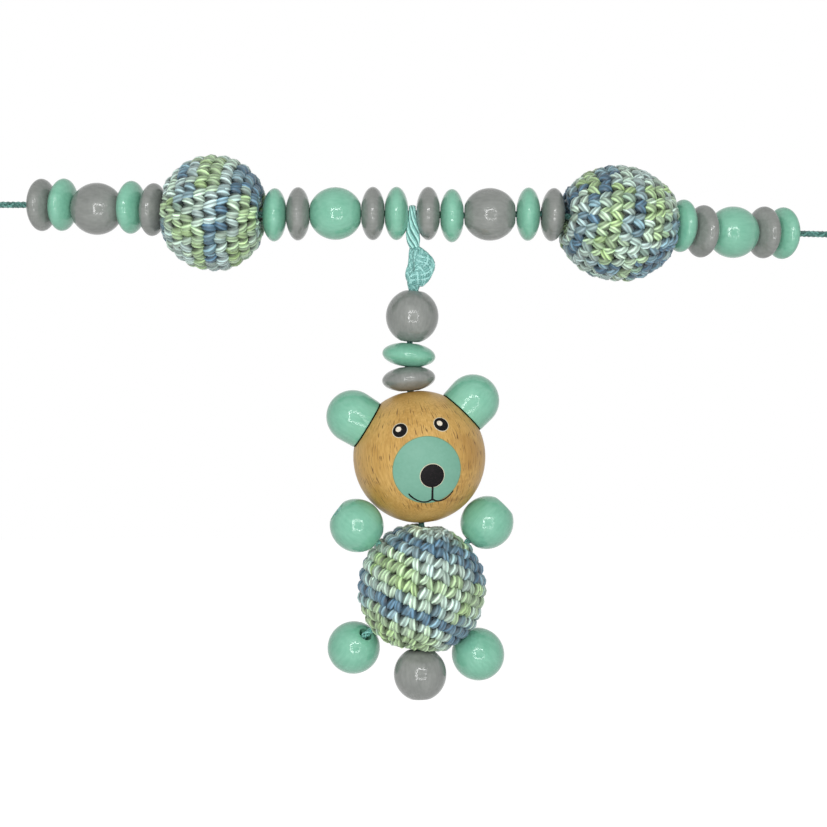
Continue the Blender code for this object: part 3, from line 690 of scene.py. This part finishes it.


# Every other line round a strand lies in the valley between two plies and is darkened there as
# painted shade, the lines between vary in brightness, partly the plies' own tone and partly painted
# highlight, and painted shade darkens its sides and ends, where it dips under its neighbours
def layStrand(strands, path, widths, rises, tint, around=6, lobe=0.0, twist=0.0, flat=1.0,
              start=0.0, groove=1.0, crevice=0.0):
    verts, faces, places, tints = strands
    base = len(verts)
    travel = start
    marks = []
    fullest = max(widths)
    for i, point in enumerate(path):
        side, rise = frameAt(path, i, rises[i])
        if i:
            travel += (point - path[i - 1]).length
        marks.append(travel)
        for k in range(around):
            angle = 2.0 * pi * k / around + twist * (travel - start)
            reach = widths[i] * (1.0 + (lobe if k % 2 else -lobe))
            verts.append((point + side * cos(angle) * reach
                          + rise * sin(angle) * reach * flat) * mm)
            # valleys take a painted shade factor; ridges vary, partly ply tone and partly painted
            # highlight
            share = 1.0 + 0.5 * (1 - groove) * sin(2.3 * k + start) if k % 2 else groove
            # painted shade on the strand's sides and towards its thinner ends
            share *= 1.0 - crevice * min(1.0, (creviceWidth * cos(angle)) ** 4)
            share *= 1.0 - crevice * (1.0 - widths[i] / fullest)
            tints.append((tint[0] * share, tint[1] * share, tint[2] * share, 1.0))
    girth = 2.0 * pi * fullest / around
    for i in range(len(path) - 1):
        low, high = marks[i], marks[i + 1]
        for k in range(around):
            here = base + i * around + k
            beside = base + i * around + (k + 1) % around
            faces.append((here, beside, beside + around, here + around))
            places += [(low, k * girth), (low, (k + 1) * girth),
                       (high, (k + 1) * girth), (high, k * girth)]
    last = base + (len(path) - 1) * around
    faces.append(tuple(range(base + around - 1, base - 1, -1)))
    faces.append(tuple(range(last, last + around)))
    places += [(marks[0], 0.0)] * around + [(marks[-1], 0.0)] * around


def finishStrands(strands, node, name, material, seat=Matrix()):
    verts, faces, places, tints = strands
    mesh = bpy.data.meshes.new(name)
    mesh.from_pydata(verts, [], faces)
    mesh.polygons.foreach_set("use_smooth", [True] * len(mesh.polygons))
    for item, place in zip(mesh.uv_layers.new(name="strand").data, places):
        item.uv = place
    layer = mesh.color_attributes.new("yarnTint", "FLOAT_COLOR", "POINT")
    for item, tint in zip(layer.data, tints):
        item.color = tint
    mesh.transform(seat)
    piece = newObject(name, mesh)
    setOnly(piece, material)
    pickOnly(piece)
    editing()
    faceOut()
    putOn(piece, node)


def finishBraid(strands, node):
    finishStrands(strands, node, node + "_braid", braid)


def smoothPath(points, step):  # a rounded line through points, evenly spaced
    last = len(points) - 1
    fine = []
    for i in range(last):
        a, b, c, d = (points[min(max(k, 0), last)] for k in range(i - 1, i + 3))
        pieces = max(2, ceil((c - b).length / step * 2))
        for j in range(pieces):
            t = j / pieces
            fine.append(0.5 * (2 * b + (c - a) * t + (2 * a - 5 * b + 4 * c - d) * t * t
                               + (3 * b - 3 * c + d - a) * t ** 3))
    fine.append(points[-1])
    even = [fine[0]]
    spare = 0.0
    for here, there in zip(fine, fine[1:]):
        length = (there - here).length
        while spare + length >= step:
            here = here + (there - here) * ((step - spare) / length)
            length = (there - here).length
            even.append(here)
            spare = 0.0
        spare += length
    if (even[-1] - fine[-1]).length > step * 0.3:
        even.append(fine[-1])
    return even


def carriedRises(path, first):  # side-on directions carried along a path without twisting
    rises = []
    rise = first
    for i in range(len(path)):
        along = stepAt(path, i).normalized()
        rise = (rise - along * rise.dot(along)).normalized()
        rises.append(rise)
    return rises


def layBraid(strands, path, rises, wide, deep, look):
    count = look["pairs"]
    travel = 0.0
    travels = [0.0]
    for here, there in zip(path, path[1:]):
        travel += (there - here).length
        travels.append(travel)
    thread = look["thread"]
    for direction in look["ways"]:
        for n in range(count):
            line = []
            outs = []
            for i, point in enumerate(path):
                side, rise = frameAt(path, i, rises[i])
                angle = 2.0 * pi * (direction * travels[i] / look["pitch"] + n / count)
                weave = direction * cos(count * angle) * thread * look["weave"]
                spread = max(0.02, wide[i] - thread) + weave
                raised = max(0.02, deep[i] - thread) + weave
                out = side * cos(angle) * raised + rise * sin(angle) * spread
                line.append(point + side * cos(angle) * spread
                            + rise * sin(angle) * raised)
                outs.append(out.normalized())
            tint = look["tints"][(n + (direction < 0)) % len(look["tints"])]
            layStrand(strands, line, [thread * look["fat"]] * len(line), outs, linear(*tint), 5,
                      flat=look["flat"], start=strandStarts.uniform(0, 500))


strandStarts = random.Random(12)


# Crocheted covers: rounds of V stitches in spotted yarn about each ball's own row axis

# A stitch is a V of two short strands, its legs. Fat, high, level and jitter say how much they
# may differ, and the leg values how far one reaches over its round, how its ends stand apart
# and how thin they are
crochet = {
    "stitchWidth": 3.75,
    "rowHeight": 2.86,
    "yarn": 1.28,
    "sunk": 1.02,
    "shift": 0.22,
    "twist": 0.35,
    "deepBlue": (104, 144, 170),
    "blue": (166, 206, 218),
    "paleBlue": (220, 244, 240),
    "paleMint": (226, 252, 226),
    "green": (200, 234, 160),
    # the underside's brightness, kept low as painted shade between stitches
    "inner": 0.16,
    "endSink": 0.5,
    "endReach": 7.5,
    "dip": 1.0,
    "spans": 6,
    "legReach": 0.54,
    "legSpread": (0.07, 0.36, 0.06),
    "legEnds": 0.36,
    "fat": (0.88, 1.08),
    "high": (-0.24, 0.06),
    "level": (0.9, 1.22),
    "jitter": {"turn": 0.08, "row": 0.015, "phase": 0.04, "tilt": 0.36, "spot": 1.0},
    "underside": 1.6,
    "holeReach": 0.95,
    "behindFrom": 0.15,
}
# the last two factors darken ply valleys and each leg's sides and ends as painted shade
plies = {"around": 16, "lobe": 0.08, "groove": 0.34, "crevice": 0.84}
# Full and dimpled are half lengths towards either end, lean tips the rounds, point says which
# way the stitches look, and start, drift and bands lay the yarn's colours behind the ball
ballCover = {"waist": 13.2, "bore": 2.45, "lean": 0.0, "drift": 0.29, "bands": -4, "holes": ()}
covers = {
    "left_ball": {**ballCover, "seed": 3, "full": (12.7, 12.7), "dimpled": (10.95, 10.95),
                  "bright": 0.96, "start": 0.608, "point": 1},
    "right_ball": {**ballCover, "seed": 8, "full": (14.5, 14.5), "dimpled": (12.35, 12.35),
                   "bright": 0.9, "start": 0.195, "point": -1},
    "body": {"seed": 21, "waist": 14.55, "full": (15.0, 15.1), "dimpled": (15.0, 13.3),
             "bore": 2.9, "bright": 1.0, "lean": 17.0, "drift": 0.1777, "bands": -1,
             "start": 0.041, "point": 1, "holes": ((-0.23, -14.5, 1.25),)},
}
dimpleRadius = 5.9
# Where the spotted yarn turns blue or green in front, out and up from each ball's middle
yarnRuns = {
    "left_ball": (
        ("blue", 1.8, ((-6.8, 10.4), (-6.4, 5.2), (-7.2, 2.0))),
        ("blue", 2.1, ((8.6, 8.2), (6.2, 4.8), (3.4, 1.5), (2.1, -2.2), (0.8, -5.6), (0.2, -10.4))),
        ("blue", 1.8, ((7.4, 9.6), (10.4, 6.6), (12.0, 3.4), (11.6, 1.0))),
        ("blue", 1.2, ((-12.2, -3.2), (-12.0, -5.4))),
        ("green", 2.6, ((-1.2, 12.4), (1.6, 10.6), (-1.6, 7.0))),
        ("green", 2.4, ((-10.0, 1.6), (-8.6, -3.4), (-3.8, -6.4), (-3.2, -10.6))),
        ("green", 2.8, ((9.4, 0.2), (8.4, -4.6), (6.6, -9.2)))),
    "right_ball": (
        ("blue", 1.7, ((-1.8, 12.8), (-2.9, 8.6), (-4.6, 5.2), (-6.6, 2.4), (-7.3, -1.6),
                       (-8.2, -4.4), (-10.6, -6.6))),
        ("blue", 1.5, ((-9.6, 7.4), (-12.0, 5.4), (-12.8, 3.4))),
        ("blue", 1.5, ((3.8, 7.2), (4.0, 1.6), (3.4, -3.2))),
        ("blue", 2.0, ((13.4, 0.4), (12.0, -3.4), (10.0, -6.6), (7.6, -9.4), (3.8, -12.4))),
        ("blue", 1.2, ((-5.4, -10.8), (-2.6, -11.0))),
        ("green", 2.6, ((-6.4, 8.6), (-5.2, 9.8))),
        ("green", 2.8, ((1.0, 6.2), (-1.6, 0.4), (-2.4, -4.6), (-4.8, -7.2))),
        ("green", 2.8, ((8.6, 6.4), (9.6, 0.6), (8.4, -2.0))),
        ("green", 2.2, ((-12.6, -0.6), (-12.2, 0.2))),
        ("green", 2.4, ((6.0, -9.2), (1.6, -11.8)))),
    "body": (
        ("blue", 2.3, ((-6.0, 12.4), (-2.2, 10.8), (2.2, 10.4), (6.6, 8.8), (10.6, 7.2),
                       (13.6, 5.0), (14.0, 2.4))),
        ("blue", 2.5, ((-15.4, 5.0), (-14.6, 0.6), (-11.2, -1.8), (-7.0, -3.0), (-2.8, -4.6),
                       (1.2, -5.8), (5.4, -7.8), (9.4, -9.2), (8.4, -12.0))),
        ("green", 3.6, ((-8.0, 7.0), (-5.0, 5.6), (-2.6, 2.6))),
        ("green", 2.6, ((3.4, 2.0), (8.6, 0.4), (12.4, -1.6), (10.4, -4.4))),
        ("green", 3.0, ((-13.0, -4.4), (-9.4, -7.4), (-3.4, -10.4), (2.0, -13.0))),
        ("green", 1.8, ((8.0, 11.0), (11.6, 9.4)))),
}


def coverPoint(look, direction, lift):
    wide = hypot(direction.x, direction.y)
    end = 0 if direction.z > 0 else 1
    full = look["full"][end]
    radius = look["waist"] * wide
    height = full * direction.z
    depth = (full - look["dimpled"][end]) * max(0.0, 1.0 - (radius / dimpleRadius) ** 2)
    place = Vector((look["waist"] * direction.x, look["waist"] * direction.y,
                    height - copysign(depth, height)))
    return place + direction * lift


yarnSpots = ((0.0, "blue"), (0.08, "deepBlue"), (0.18, "deepBlue"), (0.24, "blue"),
             (0.3, "paleBlue"), (0.42, "paleMint"), (0.54, "green"), (0.72, "green"),
             (0.82, "paleMint"), (0.94, "paleBlue"), (1.0, "blue"))
calmSpots = ((0.0, "paleBlue"), (0.25, "paleMint"), (0.5, "green"), (0.75, "paleMint"),
             (1.0, "paleBlue"))


def spottedTint(share, level, stops=yarnSpots):
    share %= 1.0
    for (low, first), (high, second) in zip(stops, stops[1:]):
        if share <= high:
            t = (share - low) / (high - low)
            a = linear(*crochet[first])
            b = linear(*crochet[second])
            return tuple((x + (y - x) * t) * level for x, y in zip(a[:3], b[:3])) + (1.0,)
    return linear(*crochet["blue"])


def runShare(name, colour, out, up):  # how far inside a run of one colour a place lies
    best = 0.0
    spot = Vector((out, up))
    for kind, half, line in yarnRuns[name]:
        if kind != colour:
            continue
        for first, second in zip(line, line[1:]):
            first, second = Vector(first), Vector(second)
            along = second - first
            t = min(1.0, max(0.0, (spot - first).dot(along) / along.length_squared))
            best = max(best, 1.2 - (spot - first - along * t).length / half)
    return best


def frontTint(name, direction, phase, level, jump):
    girth = covers[name]["waist"]
    out = direction.x * girth + jump[0]
    up = direction.z * girth + jump[1]
    green = max(0.0, min(0.5, runShare(name, "green", out, up) * 0.8))
    base = spottedTint(0.1 + 0.12 * sin(phase * 6.28) + green * 0.8, level, calmSpots)
    blue = max(0.0, min(1.0, runShare(name, "blue", out, up)))
    if not blue:
        return base
    deep = spottedTint(0.13 * blue * abs(cos(7 * jump[0])), level)
    return tuple(x + (y - x) * min(1.0, blue * 1.5) for x, y in zip(base, deep))


def partFrom(holes, direction):  # stitches are pushed aside round a hole
    for middle, reach in holes:
        apart = direction - middle * direction.dot(middle)
        off = apart.length
        if off < reach * 1.8 and direction.dot(middle) > 0:
            pushed = reach + (off / (reach * 1.8)) * reach * 0.8
            direction = (middle * sqrt(max(0.0, 1 - pushed ** 2))
                         + apart.normalized() * pushed)
    return direction


def crochetCover(name):
    look = {**crochet, **covers[name]}
    rough = random.Random(look["seed"])
    strands = newStrands()

    def sway(kind):  # an even draw either way
        return rough.uniform(-look["jitter"][kind], look["jitter"][kind])

    rows = Matrix.Rotation(radians(look["lean"]), 3, "Y")
    girth = look["waist"]
    bore = look["bore"] / girth
    holes = [(Vector((0, 0, 1)), bore), (Vector((0, 0, -1)), bore)]
    seat = seatOf(name + ("_turn" if name == "body" else "_spin"))
    for hole in look["holes"]:
        inBall = seat.to_3x3().inverted() @ Vector(hole)
        holes.append((inBall.normalized(), look["holeReach"] / girth))
    back = (seat.to_3x3() @ rows).inverted() @ -front
    behind = atan2(back.y, back.x)
    count = round(pi * max(girth, sum(look["full"]) / 2) / look["rowHeight"])
    step = pi / count
    apart, fan, bulge = look["legSpread"]
    for row in range(count):
        around = max(6, 2 * round(pi * girth * sin((row + 0.5) * step)
                                  / look["stitchWidth"]))
        for k in range(around):
            turn = (k + row * look["shift"] % 1.0 + sway("turn")) / around
            middle = (row + turn) * step + sway("row")
            middle = min(max(middle, step * 0.55), pi - step * 0.45)
            wide = 2 * pi * sin(middle) / around
            nearEnd = max(0.0, 1.0 - (girth * sin(middle) / look["endReach"]) ** 2)
            phase = (look["start"] + look["drift"] * (row + turn) + look["bands"] * turn
                     + sway("phase"))
            tilt = sway("tilt")
            for sign in (-1, 1):
                fat = look["yarn"] * rough.uniform(*look["fat"])
                high = rough.uniform(*look["high"])
                path = []
                widths = []
                rises = []
                for i in range(look["spans"] + 1):
                    t = i / look["spans"]
                    bow = sin(pi * t)
                    along = look["legReach"] * (1 - 2 * t) * step * look["point"]
                    across = sign * (apart + fan * t + bulge * bow) * wide + tilt * along
                    polar = middle + along
                    azimuth = behind + 2 * pi * turn + across / max(0.3, sin(middle))
                    direction = partFrom(holes, rows @ Vector((
                        sin(polar) * cos(azimuth), sin(polar) * sin(azimuth),
                        cos(polar))))
                    lift = (high * bow - look["sunk"] - look["dip"] * (1 - bow ** 0.7)
                            - look["endSink"] * nearEnd)
                    path.append(coverPoint(look, direction, lift))
                    widths.append(fat * (look["legEnds"] + (1 - look["legEnds"]) * bow ** 0.7))
                    rises.append(direction)
                level = rough.uniform(*look["level"]) * look["bright"]
                jump = (sway("spot"), sway("spot"))
                centre = seat.to_3x3() @ rises[look["spans"] // 2]
                if centre.y < look["behindFrom"]:
                    tint = frontTint(name, centre, phase, level, jump)
                else:
                    tint = spottedTint(phase + jump[0] * 0.06, level)
                layStrand(strands, path, widths, rises, tint, twist=look["twist"] * sign,
                          start=rough.uniform(0, 900), **plies)
    finishStrands(strands, name + "_cover", name + "_crochet", cotton, seat)
    makeUnderside(name, look, seat, holes)


def makeUnderside(name, look, seat, holes):  # the inside that shows between stitches, its yarn colours darkened to about a sixth as painted shade
    inner = newBall(name + "_underside", 1.0, 72, 48)
    for vert in inner.data.vertices:
        direction = partFrom(holes, vert.co.normalized())
        vert.co = coverPoint(look, direction, -look["underside"]) * mm
    editing()
    pick(inner, "VERT", lambda vert: any(
        (vert.co.normalized() - middle * vert.co.normalized().dot(middle)).length
        < reach * 1.02 and vert.co.dot(middle) > 0 for middle, reach in holes))
    bpy.ops.mesh.delete(type="VERT")
    faceOut()
    wall = inner.modifiers.new("wall", "SOLIDIFY")
    wall.thickness = 0.12 * mm
    wall.offset = -1.0
    bpy.ops.object.modifier_apply(modifier="wall")
    settle(inner, 60)
    inner.data.transform(seat)
    # yarn colours at the underside's low level: painted shade
    tints = inner.data.color_attributes.new("yarnTint", "FLOAT_COLOR", "POINT")
    for vert, item in zip(inner.data.vertices, tints.data):
        direction = (vert.co - seat.translation).normalized()
        item.color = frontTint(name, direction, 0.0, look["inner"], (0, 0))
    inner.data.uv_layers[0].name = "strand"
    setOnly(inner, cotton)
    putOn(inner, body=name)


for name in covers:
    crochetCover(name)
    print(name, "crocheted")


# Cords, the loop over the chain and its knot

cordRadius = 0.8
play = 0.28
ribbonThickness = 0.9
pathStep = 0.3
plait = {"thread": 0.3, "fat": 1.0, "weave": 0.3, "ways": (1, -1)}
cordLook = {**plait, "pairs": 4, "pitch": 5.2, "flat": 0.75,
            "tints": ((66, 118, 110), (90, 146, 136), (50, 98, 90))}
# the ribbon's strands run pale, dark and mid teal by turns: partly the braid's own tone and partly
# painted highlight and shade
ribbonLook = {**plait, "pairs": 18, "pitch": 17.0, "flat": 0.8, "weave": 0.0, "ways": (1,),
              "tints": ((184, 232, 224), (66, 122, 114), (140, 198, 190))}
knotLook = {**plait, "pairs": 14, "pitch": 10.0, "thread": 0.25, "fat": 1.1, "flat": 0.7,
            "tints": ((122, 178, 172), (160, 212, 206), (104, 160, 154))}
limbLook = {**plait, "pairs": 3, "pitch": 4.0, "flat": 0.8,
            "tints": ((104, 170, 158), (130, 194, 184))}
# Height and half width down the loop
loopWidths = ((1.8, 0.84), (0.0, 0.92), (-2.0, 1.15), (-4.3, 1.66), (-6.1, 1.62), (-7.9, 1.15))
# the solid inside of flat braids and the knot's heart, dark teal as painted shade between strands
braidInsideShade = (72, 128, 122)


def pointOf(name):
    return Vector(joints[name]["pos_m"]) / mm


def widthAt(table, height):
    for (high, first), (low, second) in zip(table, table[1:]):
        if height >= low:
            share = min(1.0, max(0.0, (high - height) / (high - low)))
            return first + (second - first) * share
    return table[-1][1]


def layCord(points, look, radius=cordRadius, step=pathStep):
    path = smoothPath(points, step)
    strands = newStrands()
    radii = [radius] * len(path)
    layBraid(strands, path, carriedRises(path, front), radii, radii, look)
    return strands


# A flat braid keeps its width across the toy, over a solid inside that is dark teal as painted
# shade in the gaps between strands
def layFlat(path, wide, deep, look, inner, flat):
    rises = [stepAt(path, i).cross(Vector((1, 0, 0))).normalized() for i in range(len(path))]
    strands = newStrands()
    layBraid(strands, path, rises, wide, deep, look)
    layStrand(strands, path, [w * inner for w in wide], rises, linear(*braidInsideShade), 8, flat=flat)
    return strands


# The pin's place on a clip, where the main cord meets its end knot, how far from a sunk bead's
# middle its cord ends, and the knots in the tail bead (past the cord's end) and limb beads
# (past the bead's middle)
pinPlace = Vector((23.0, -4.6, 0.0))
cordEnd = Vector((-18.6, 0, 0))
sunkEnd = 4.4
tailKnot = {"past": 0.15, "size": 1.15}
limbKnot = {"past": 4.75, "size": 1.05}


def clipSeat(side):  # X away from the chain, Y towards the pram, Z across
    back = Vector(mounts[side + "_clip_back"]["axis"])
    across = Vector(joints[side + "_clip_open"]["axis"])
    if across.z < 0:
        across = -across
    away = back.cross(across)
    if away.x * (1 if side == "right" else -1) < 0:
        away = -away
    frameTurn = Matrix((away, back, away.cross(back))).transposed().to_4x4()
    start = pointOf(side + "_clip_open") - away * pinPlace.x - back * pinPlace.y
    return Matrix.Translation(start) @ frameTurn


def makeMainCord():
    beads = [name for name in joints
             if name.endswith("_spin") and joints[name]["parent"] == "chain"]
    points = [pointOf(name) for name in sorted(beads, key=lambda name: pointOf(name).x)]
    points.insert(sum(1 for point in points if point.x < 0), Vector((0, 0, 0)))
    points = [clipSeat("left") @ cordEnd, *points, clipSeat("right") @ cordEnd]
    finishBraid(layCord(points, cordLook), "main_cord")


def makeRibbonLoop():
    over = cordRadius + play + ribbonThickness / 2
    low = -7.9
    leg = [Vector((0.55 * (1 - i / 5) ** 3, -0.6 - (over - 0.6) * i / 5, low * (1 - i / 5)))
           for i in range(5)]
    top = [Vector((0, -over * cos(a), over * sin(a)))
           for a in (i * pi / 8 for i in range(9))]
    points = leg + top + [Vector((p.x, -p.y, p.z)) for p in reversed(leg)]
    path = smoothPath(points, pathStep)
    wide = [widthAt(loopWidths, point.z) for point in path]
    strands = layFlat(path, wide, [0.5] * len(path), ribbonLook, 0.84, 0.18)
    finishBraid(strands, "ribbon_loop")


# The braid goes down at the left, up behind and over, then down in front as a wide flap:
# each point's place and half width
knotRun = (
    (0.45, 0.0, -7.4, 1.05), (0.15, 0.1, -9.0, 1.0), (0.0, 0.1, -11.5, 1.05),
    (-0.5, 0.1, -14.0, 1.2), (0.3, 0.8, -15.6, 1.1), (1.8, 1.2, -14.6, 1.1),
    (3.4, 1.1, -12.8, 1.2), (3.9, 0.8, -11.3, 1.2), (2.8, 0.8, -9.6, 1.1), (1.5, 0.5, -8.6, 1.0),
    (1.2, -0.6, -8.2, 1.1), (1.8, -1.25, -9.8, 1.8), (2.75, -1.4, -11.8, 2.55),
    (2.3, -1.3, -13.9, 2.15), (0.8, -1.0, -15.5, 2.1), (0.4, -0.5, -16.2, 1.75),
    (0.3, -0.1, -17.0, 1.2), (0.3, 0.0, -17.9, 1.15))
knotThickness = 0.75
knotHeart = ((0.7, 0.3, -8.4), (1.1, 0.3, -11.0), (1.1, 0.3, -13.5), (0.9, 0.2, -15.6))


def makeKnot():
    points = [Vector(place[:3]) for place in knotRun]
    path = smoothPath(points, pathStep)
    nearest = [min(range(len(points)), key=lambda i: (points[i] - place).length) for place in path]
    wide = [knotRun[i][3] for i in nearest]
    for _ in range(6):
        wide = [(wide[max(i - 1, 0)] + wide[i] + wide[min(i + 1, len(wide) - 1)]) / 3
                for i in range(len(wide))]
    strands = layFlat(path, wide, [min(knotThickness, w * 0.62) for w in wide], knotLook, 0.8, 0.3)
    heart = smoothPath([Vector(place) for place in knotHeart], 0.4)
    layStrand(strands, heart, [1.3] * len(heart), carriedRises(heart, front),
              linear(*braidInsideShade), 10, flat=0.4)
    finishBraid(strands, "ribbon_knot")


def makePendantCord():
    names = ("pendant_gray_round_spin", "pendant_mint_lens_spin", "pendant_gray_lens_spin",
             "head_spin", "body_turn", "tail_spin")
    points = [Vector((0.5, 0, -17.2))]
    points += [pointOf(name) for name in names]
    down = -Vector(joints["tail_spin"]["axis"])
    points.append(points[-1] + down * sunkEnd)
    strands = layCord(points, cordLook)
    knotAt(strands, points[-1] + down * tailKnot["past"], down, tailKnot["size"], cordLook)
    finishBraid(strands, "pendant_cord")


def knotAt(strands, middle, axis, size, look):  # a small round knot of the cord's own braid
    turn = leanTo(axis)
    path = []
    for i in range(49):
        angle = 2 * pi * i / 48
        path.append(middle + turn @ Vector((
            size * 0.36 * (sin(angle) + 2 * sin(2 * angle)),
            size * 0.36 * (cos(angle) - 2 * cos(2 * angle)),
            -size * 0.42 * sin(3 * angle))))
    radii = [size * 0.5] * len(path)
    layBraid(strands, path, carriedRises(path, turn @ Vector((0, 0, 1))), radii, radii,
             {**look, "pitch": 3.0})


def makeLimbCord(limb):
    centre = pointOf(limb + "_bead_spin")
    mouth = Vector(joints[limb + "_bead_spin"]["axis"])
    anchor = pointOf(limb + "_swing")
    away = (anchor - pointOf("body_turn")).normalized()
    points = [anchor - away * 1.0, anchor + away * 0.3, centre - mouth * 5.0, centre,
              centre + mouth * sunkEnd]
    strands = layCord(points, limbLook, step=0.25)
    knotAt(strands, centre + mouth * limbKnot["past"], mouth, limbKnot["size"], limbLook)
    finishBraid(strands, limb + "_cord")


endKnotRun = (
    (-18.9, 0, 0), (-16.2, 0.4, 0.2), (-13.8, 1.5, 0), (-11.95, 1.95, 0), (-10.3, 1.0, 0),
    (-10.0, 0, 0), (-10.3, -1.0, 0), (-11.95, -1.95, 0), (-13.8, -1.5, 0), (-15.2, -1.1, 0.4),
    (-15.6, 0.3, 1.6), (-15.4, 1.4, 0.4), (-15.6, 0.6, -1.3), (-16.3, -1.1, -0.8),
    (-16.8, -0.8, 1.0), (-16.7, 0.9, 1.0), (-16.9, 1.1, -0.7), (-17.3, -0.5, -1.2))


def makeEndKnot(side):  # the cord goes through the clip's slot and is tied to itself
    seat = clipSeat(side)
    strands = layCord([seat @ Vector(place) for place in endKnotRun], limbLook, 0.75)
    finishBraid(strands, side + "_end_knot")


makeMainCord()
makeRibbonLoop()
makeKnot()
makePendantCord()
for limb in ("left_arm", "right_arm", "left_leg", "right_leg"):
    makeLimbCord(limb)
for side in ("left", "right"):
    makeEndKnot(side)
print("cords ready")


# Clips: steel plate and lever, plastic pad and a lacquered wooden disc

disc = {"radius": 15.0, "thickness": 5.5, "x": 9.0, "out": 7.6, "edge": 1.7}


def makeDisc(side):
    seat = Matrix.Diagonal((mm, mm, mm, 1)) @ clipSeat(side)
    piece = newShape(side + "_clip_disc_turned", bpy.ops.mesh.primitive_cylinder_add,
                     vertices=96, radius=disc["radius"], depth=disc["thickness"])
    editing("EDGE")
    pick(piece, "EDGE", lambda edge: abs(edge.verts[0].co.z - edge.verts[1].co.z) < 0.001)
    bpy.ops.mesh.bevel(offset=disc["edge"], segments=5, affect="EDGES")
    faceOut()
    settle(piece, 40)
    for item, vert in zip(piece.data.attributes.new("ownPlace", "FLOAT_VECTOR", "POINT").data,
                          piece.data.vertices):
        item.vector = Vector((vert.co.y, vert.co.z, vert.co.x)) + Vector((40, 3, 9))
    middle = Matrix.Translation((disc["x"], -disc["out"] - disc["thickness"] / 2, 0))
    piece.data.transform(seat @ middle @ Matrix.Rotation(radians(90), 4, "X"))
    setOnly(piece, mintLacquer)
    putOn(piece, side + "_clip_disc")


for side in ("left", "right"):
    makeDisc(side)
    for node in ("_clip_base", "_clip_pin", "_clip_lever"):
        setOnly(bpy.data.objects[side + node], clipSteel)
    setOnly(bpy.data.objects[side + "_clip_pad"], padPlastic)
for node in ("left_ball_core", "right_ball_core", "body_core"):
    setOnly(bpy.data.objects[node], coreBeech)
print("clips ready")


# Floor, backdrop light, lamps and camera

studio = {
    "floor": -0.36,
    "floorGlow": 0.78,
    "ambient": 0.38,
    "ringDistance": 0.6,
    "ringHalf": 0.22,
    "ringStrip": 0.03,
    "ringPower": 0.9,
    "keyPower": 4.0,
    "lens": 114.3,
    "cameraAt": (0.27, -600.0, -45.7),
}


def rayMask(tree):  # one for what the camera, gloss and glass see of the background
    path = addNode(tree, "ShaderNodeLightPath")
    seen = calc(tree, "MAXIMUM", path.outputs["Is Camera Ray"], path.outputs["Is Glossy Ray"])
    return calc(tree, "MAXIMUM", seen, path.outputs["Is Transmission Ray"])


def makeFloor():
    floor = newShape("studio_floor", bpy.ops.mesh.primitive_circle_add, vertices=96,
                     radius=6.0, fill_type="NGON", location=(0, 0, studio["floor"]))
    bpy.ops.object.transform_apply(location=True)
    material, tree, shader = newMaterial("studioFloor")
    glow = calc(tree, "MULTIPLY", rayMask(tree), studio["floorGlow"])
    feed(tree, shader, {"Base Color": (0.72, 0.72, 0.72, 1), "Roughness": 0.9,
                        "Specular IOR Level": 0.0, "Emission Color": (1, 1, 1, 1),
                        "Emission Strength": glow})
    setOnly(floor, material)


def makeWorld():
    world = bpy.data.worlds.new("studio")
    bpy.context.scene.world = world
    world.use_nodes = True
    tree = world.node_tree
    share = calc(tree, "MULTIPLY", rayMask(tree), 1.0 - studio["ambient"])
    feed(tree, tree.nodes["Background"], {
        "Color": (1, 1, 1, 1), "Strength": calc(tree, "ADD", share, studio["ambient"])})


def addLamp(name, place, aim, wide, high, power):
    lamp = bpy.data.lights.new(name, "AREA")
    lamp.shape = "RECTANGLE"
    lamp.size = wide
    lamp.size_y = high
    lamp.energy = power
    holder = newObject(name, lamp)
    holder.location = place
    holder.rotation_euler = (Vector(aim) - Vector(place)).to_track_quat("-Z", "Y").to_euler()


def makeLamps():
    middle = Vector((0.07, 0, studio["cameraAt"][2] * mm - 0.01))
    half = studio["ringHalf"]
    strip = studio["ringStrip"]
    back = -studio["ringDistance"]
    for name, x, z, wide, high, share in (
            ("ring_top", 0, half, half * 2, strip, 0.9),
            ("ring_left", -half, 0, strip, half * 2, 1.0),
            ("ring_right", half, 0, strip, half * 2, 0.4),
            ("ring_low", 0, -half, half * 2, strip, 0.7)):
        place = middle + Vector((x, back, z))
        addLamp(name, place, place + Vector((0, 1, 0)), wide, high, studio["ringPower"] * share)
    addLamp("key", (-0.12, -1.35, 0.5), middle, 1.5, 1.2, studio["keyPower"])


def makeCamera():
    camera = bpy.data.cameras.new("camera")
    camera.lens = studio["lens"]
    camera.sensor_width = 36.0
    camera.clip_start = 0.01
    camera.clip_end = 20.0
    holder = newObject("camera", camera)
    holder.location = Vector(studio["cameraAt"]) * mm
    holder.rotation_euler = (radians(90), 0, 0)
    bpy.context.scene.camera = holder


makeFloor()
makeWorld()
makeLamps()
makeCamera()
bpy.context.scene.view_settings.view_transform = "Standard"
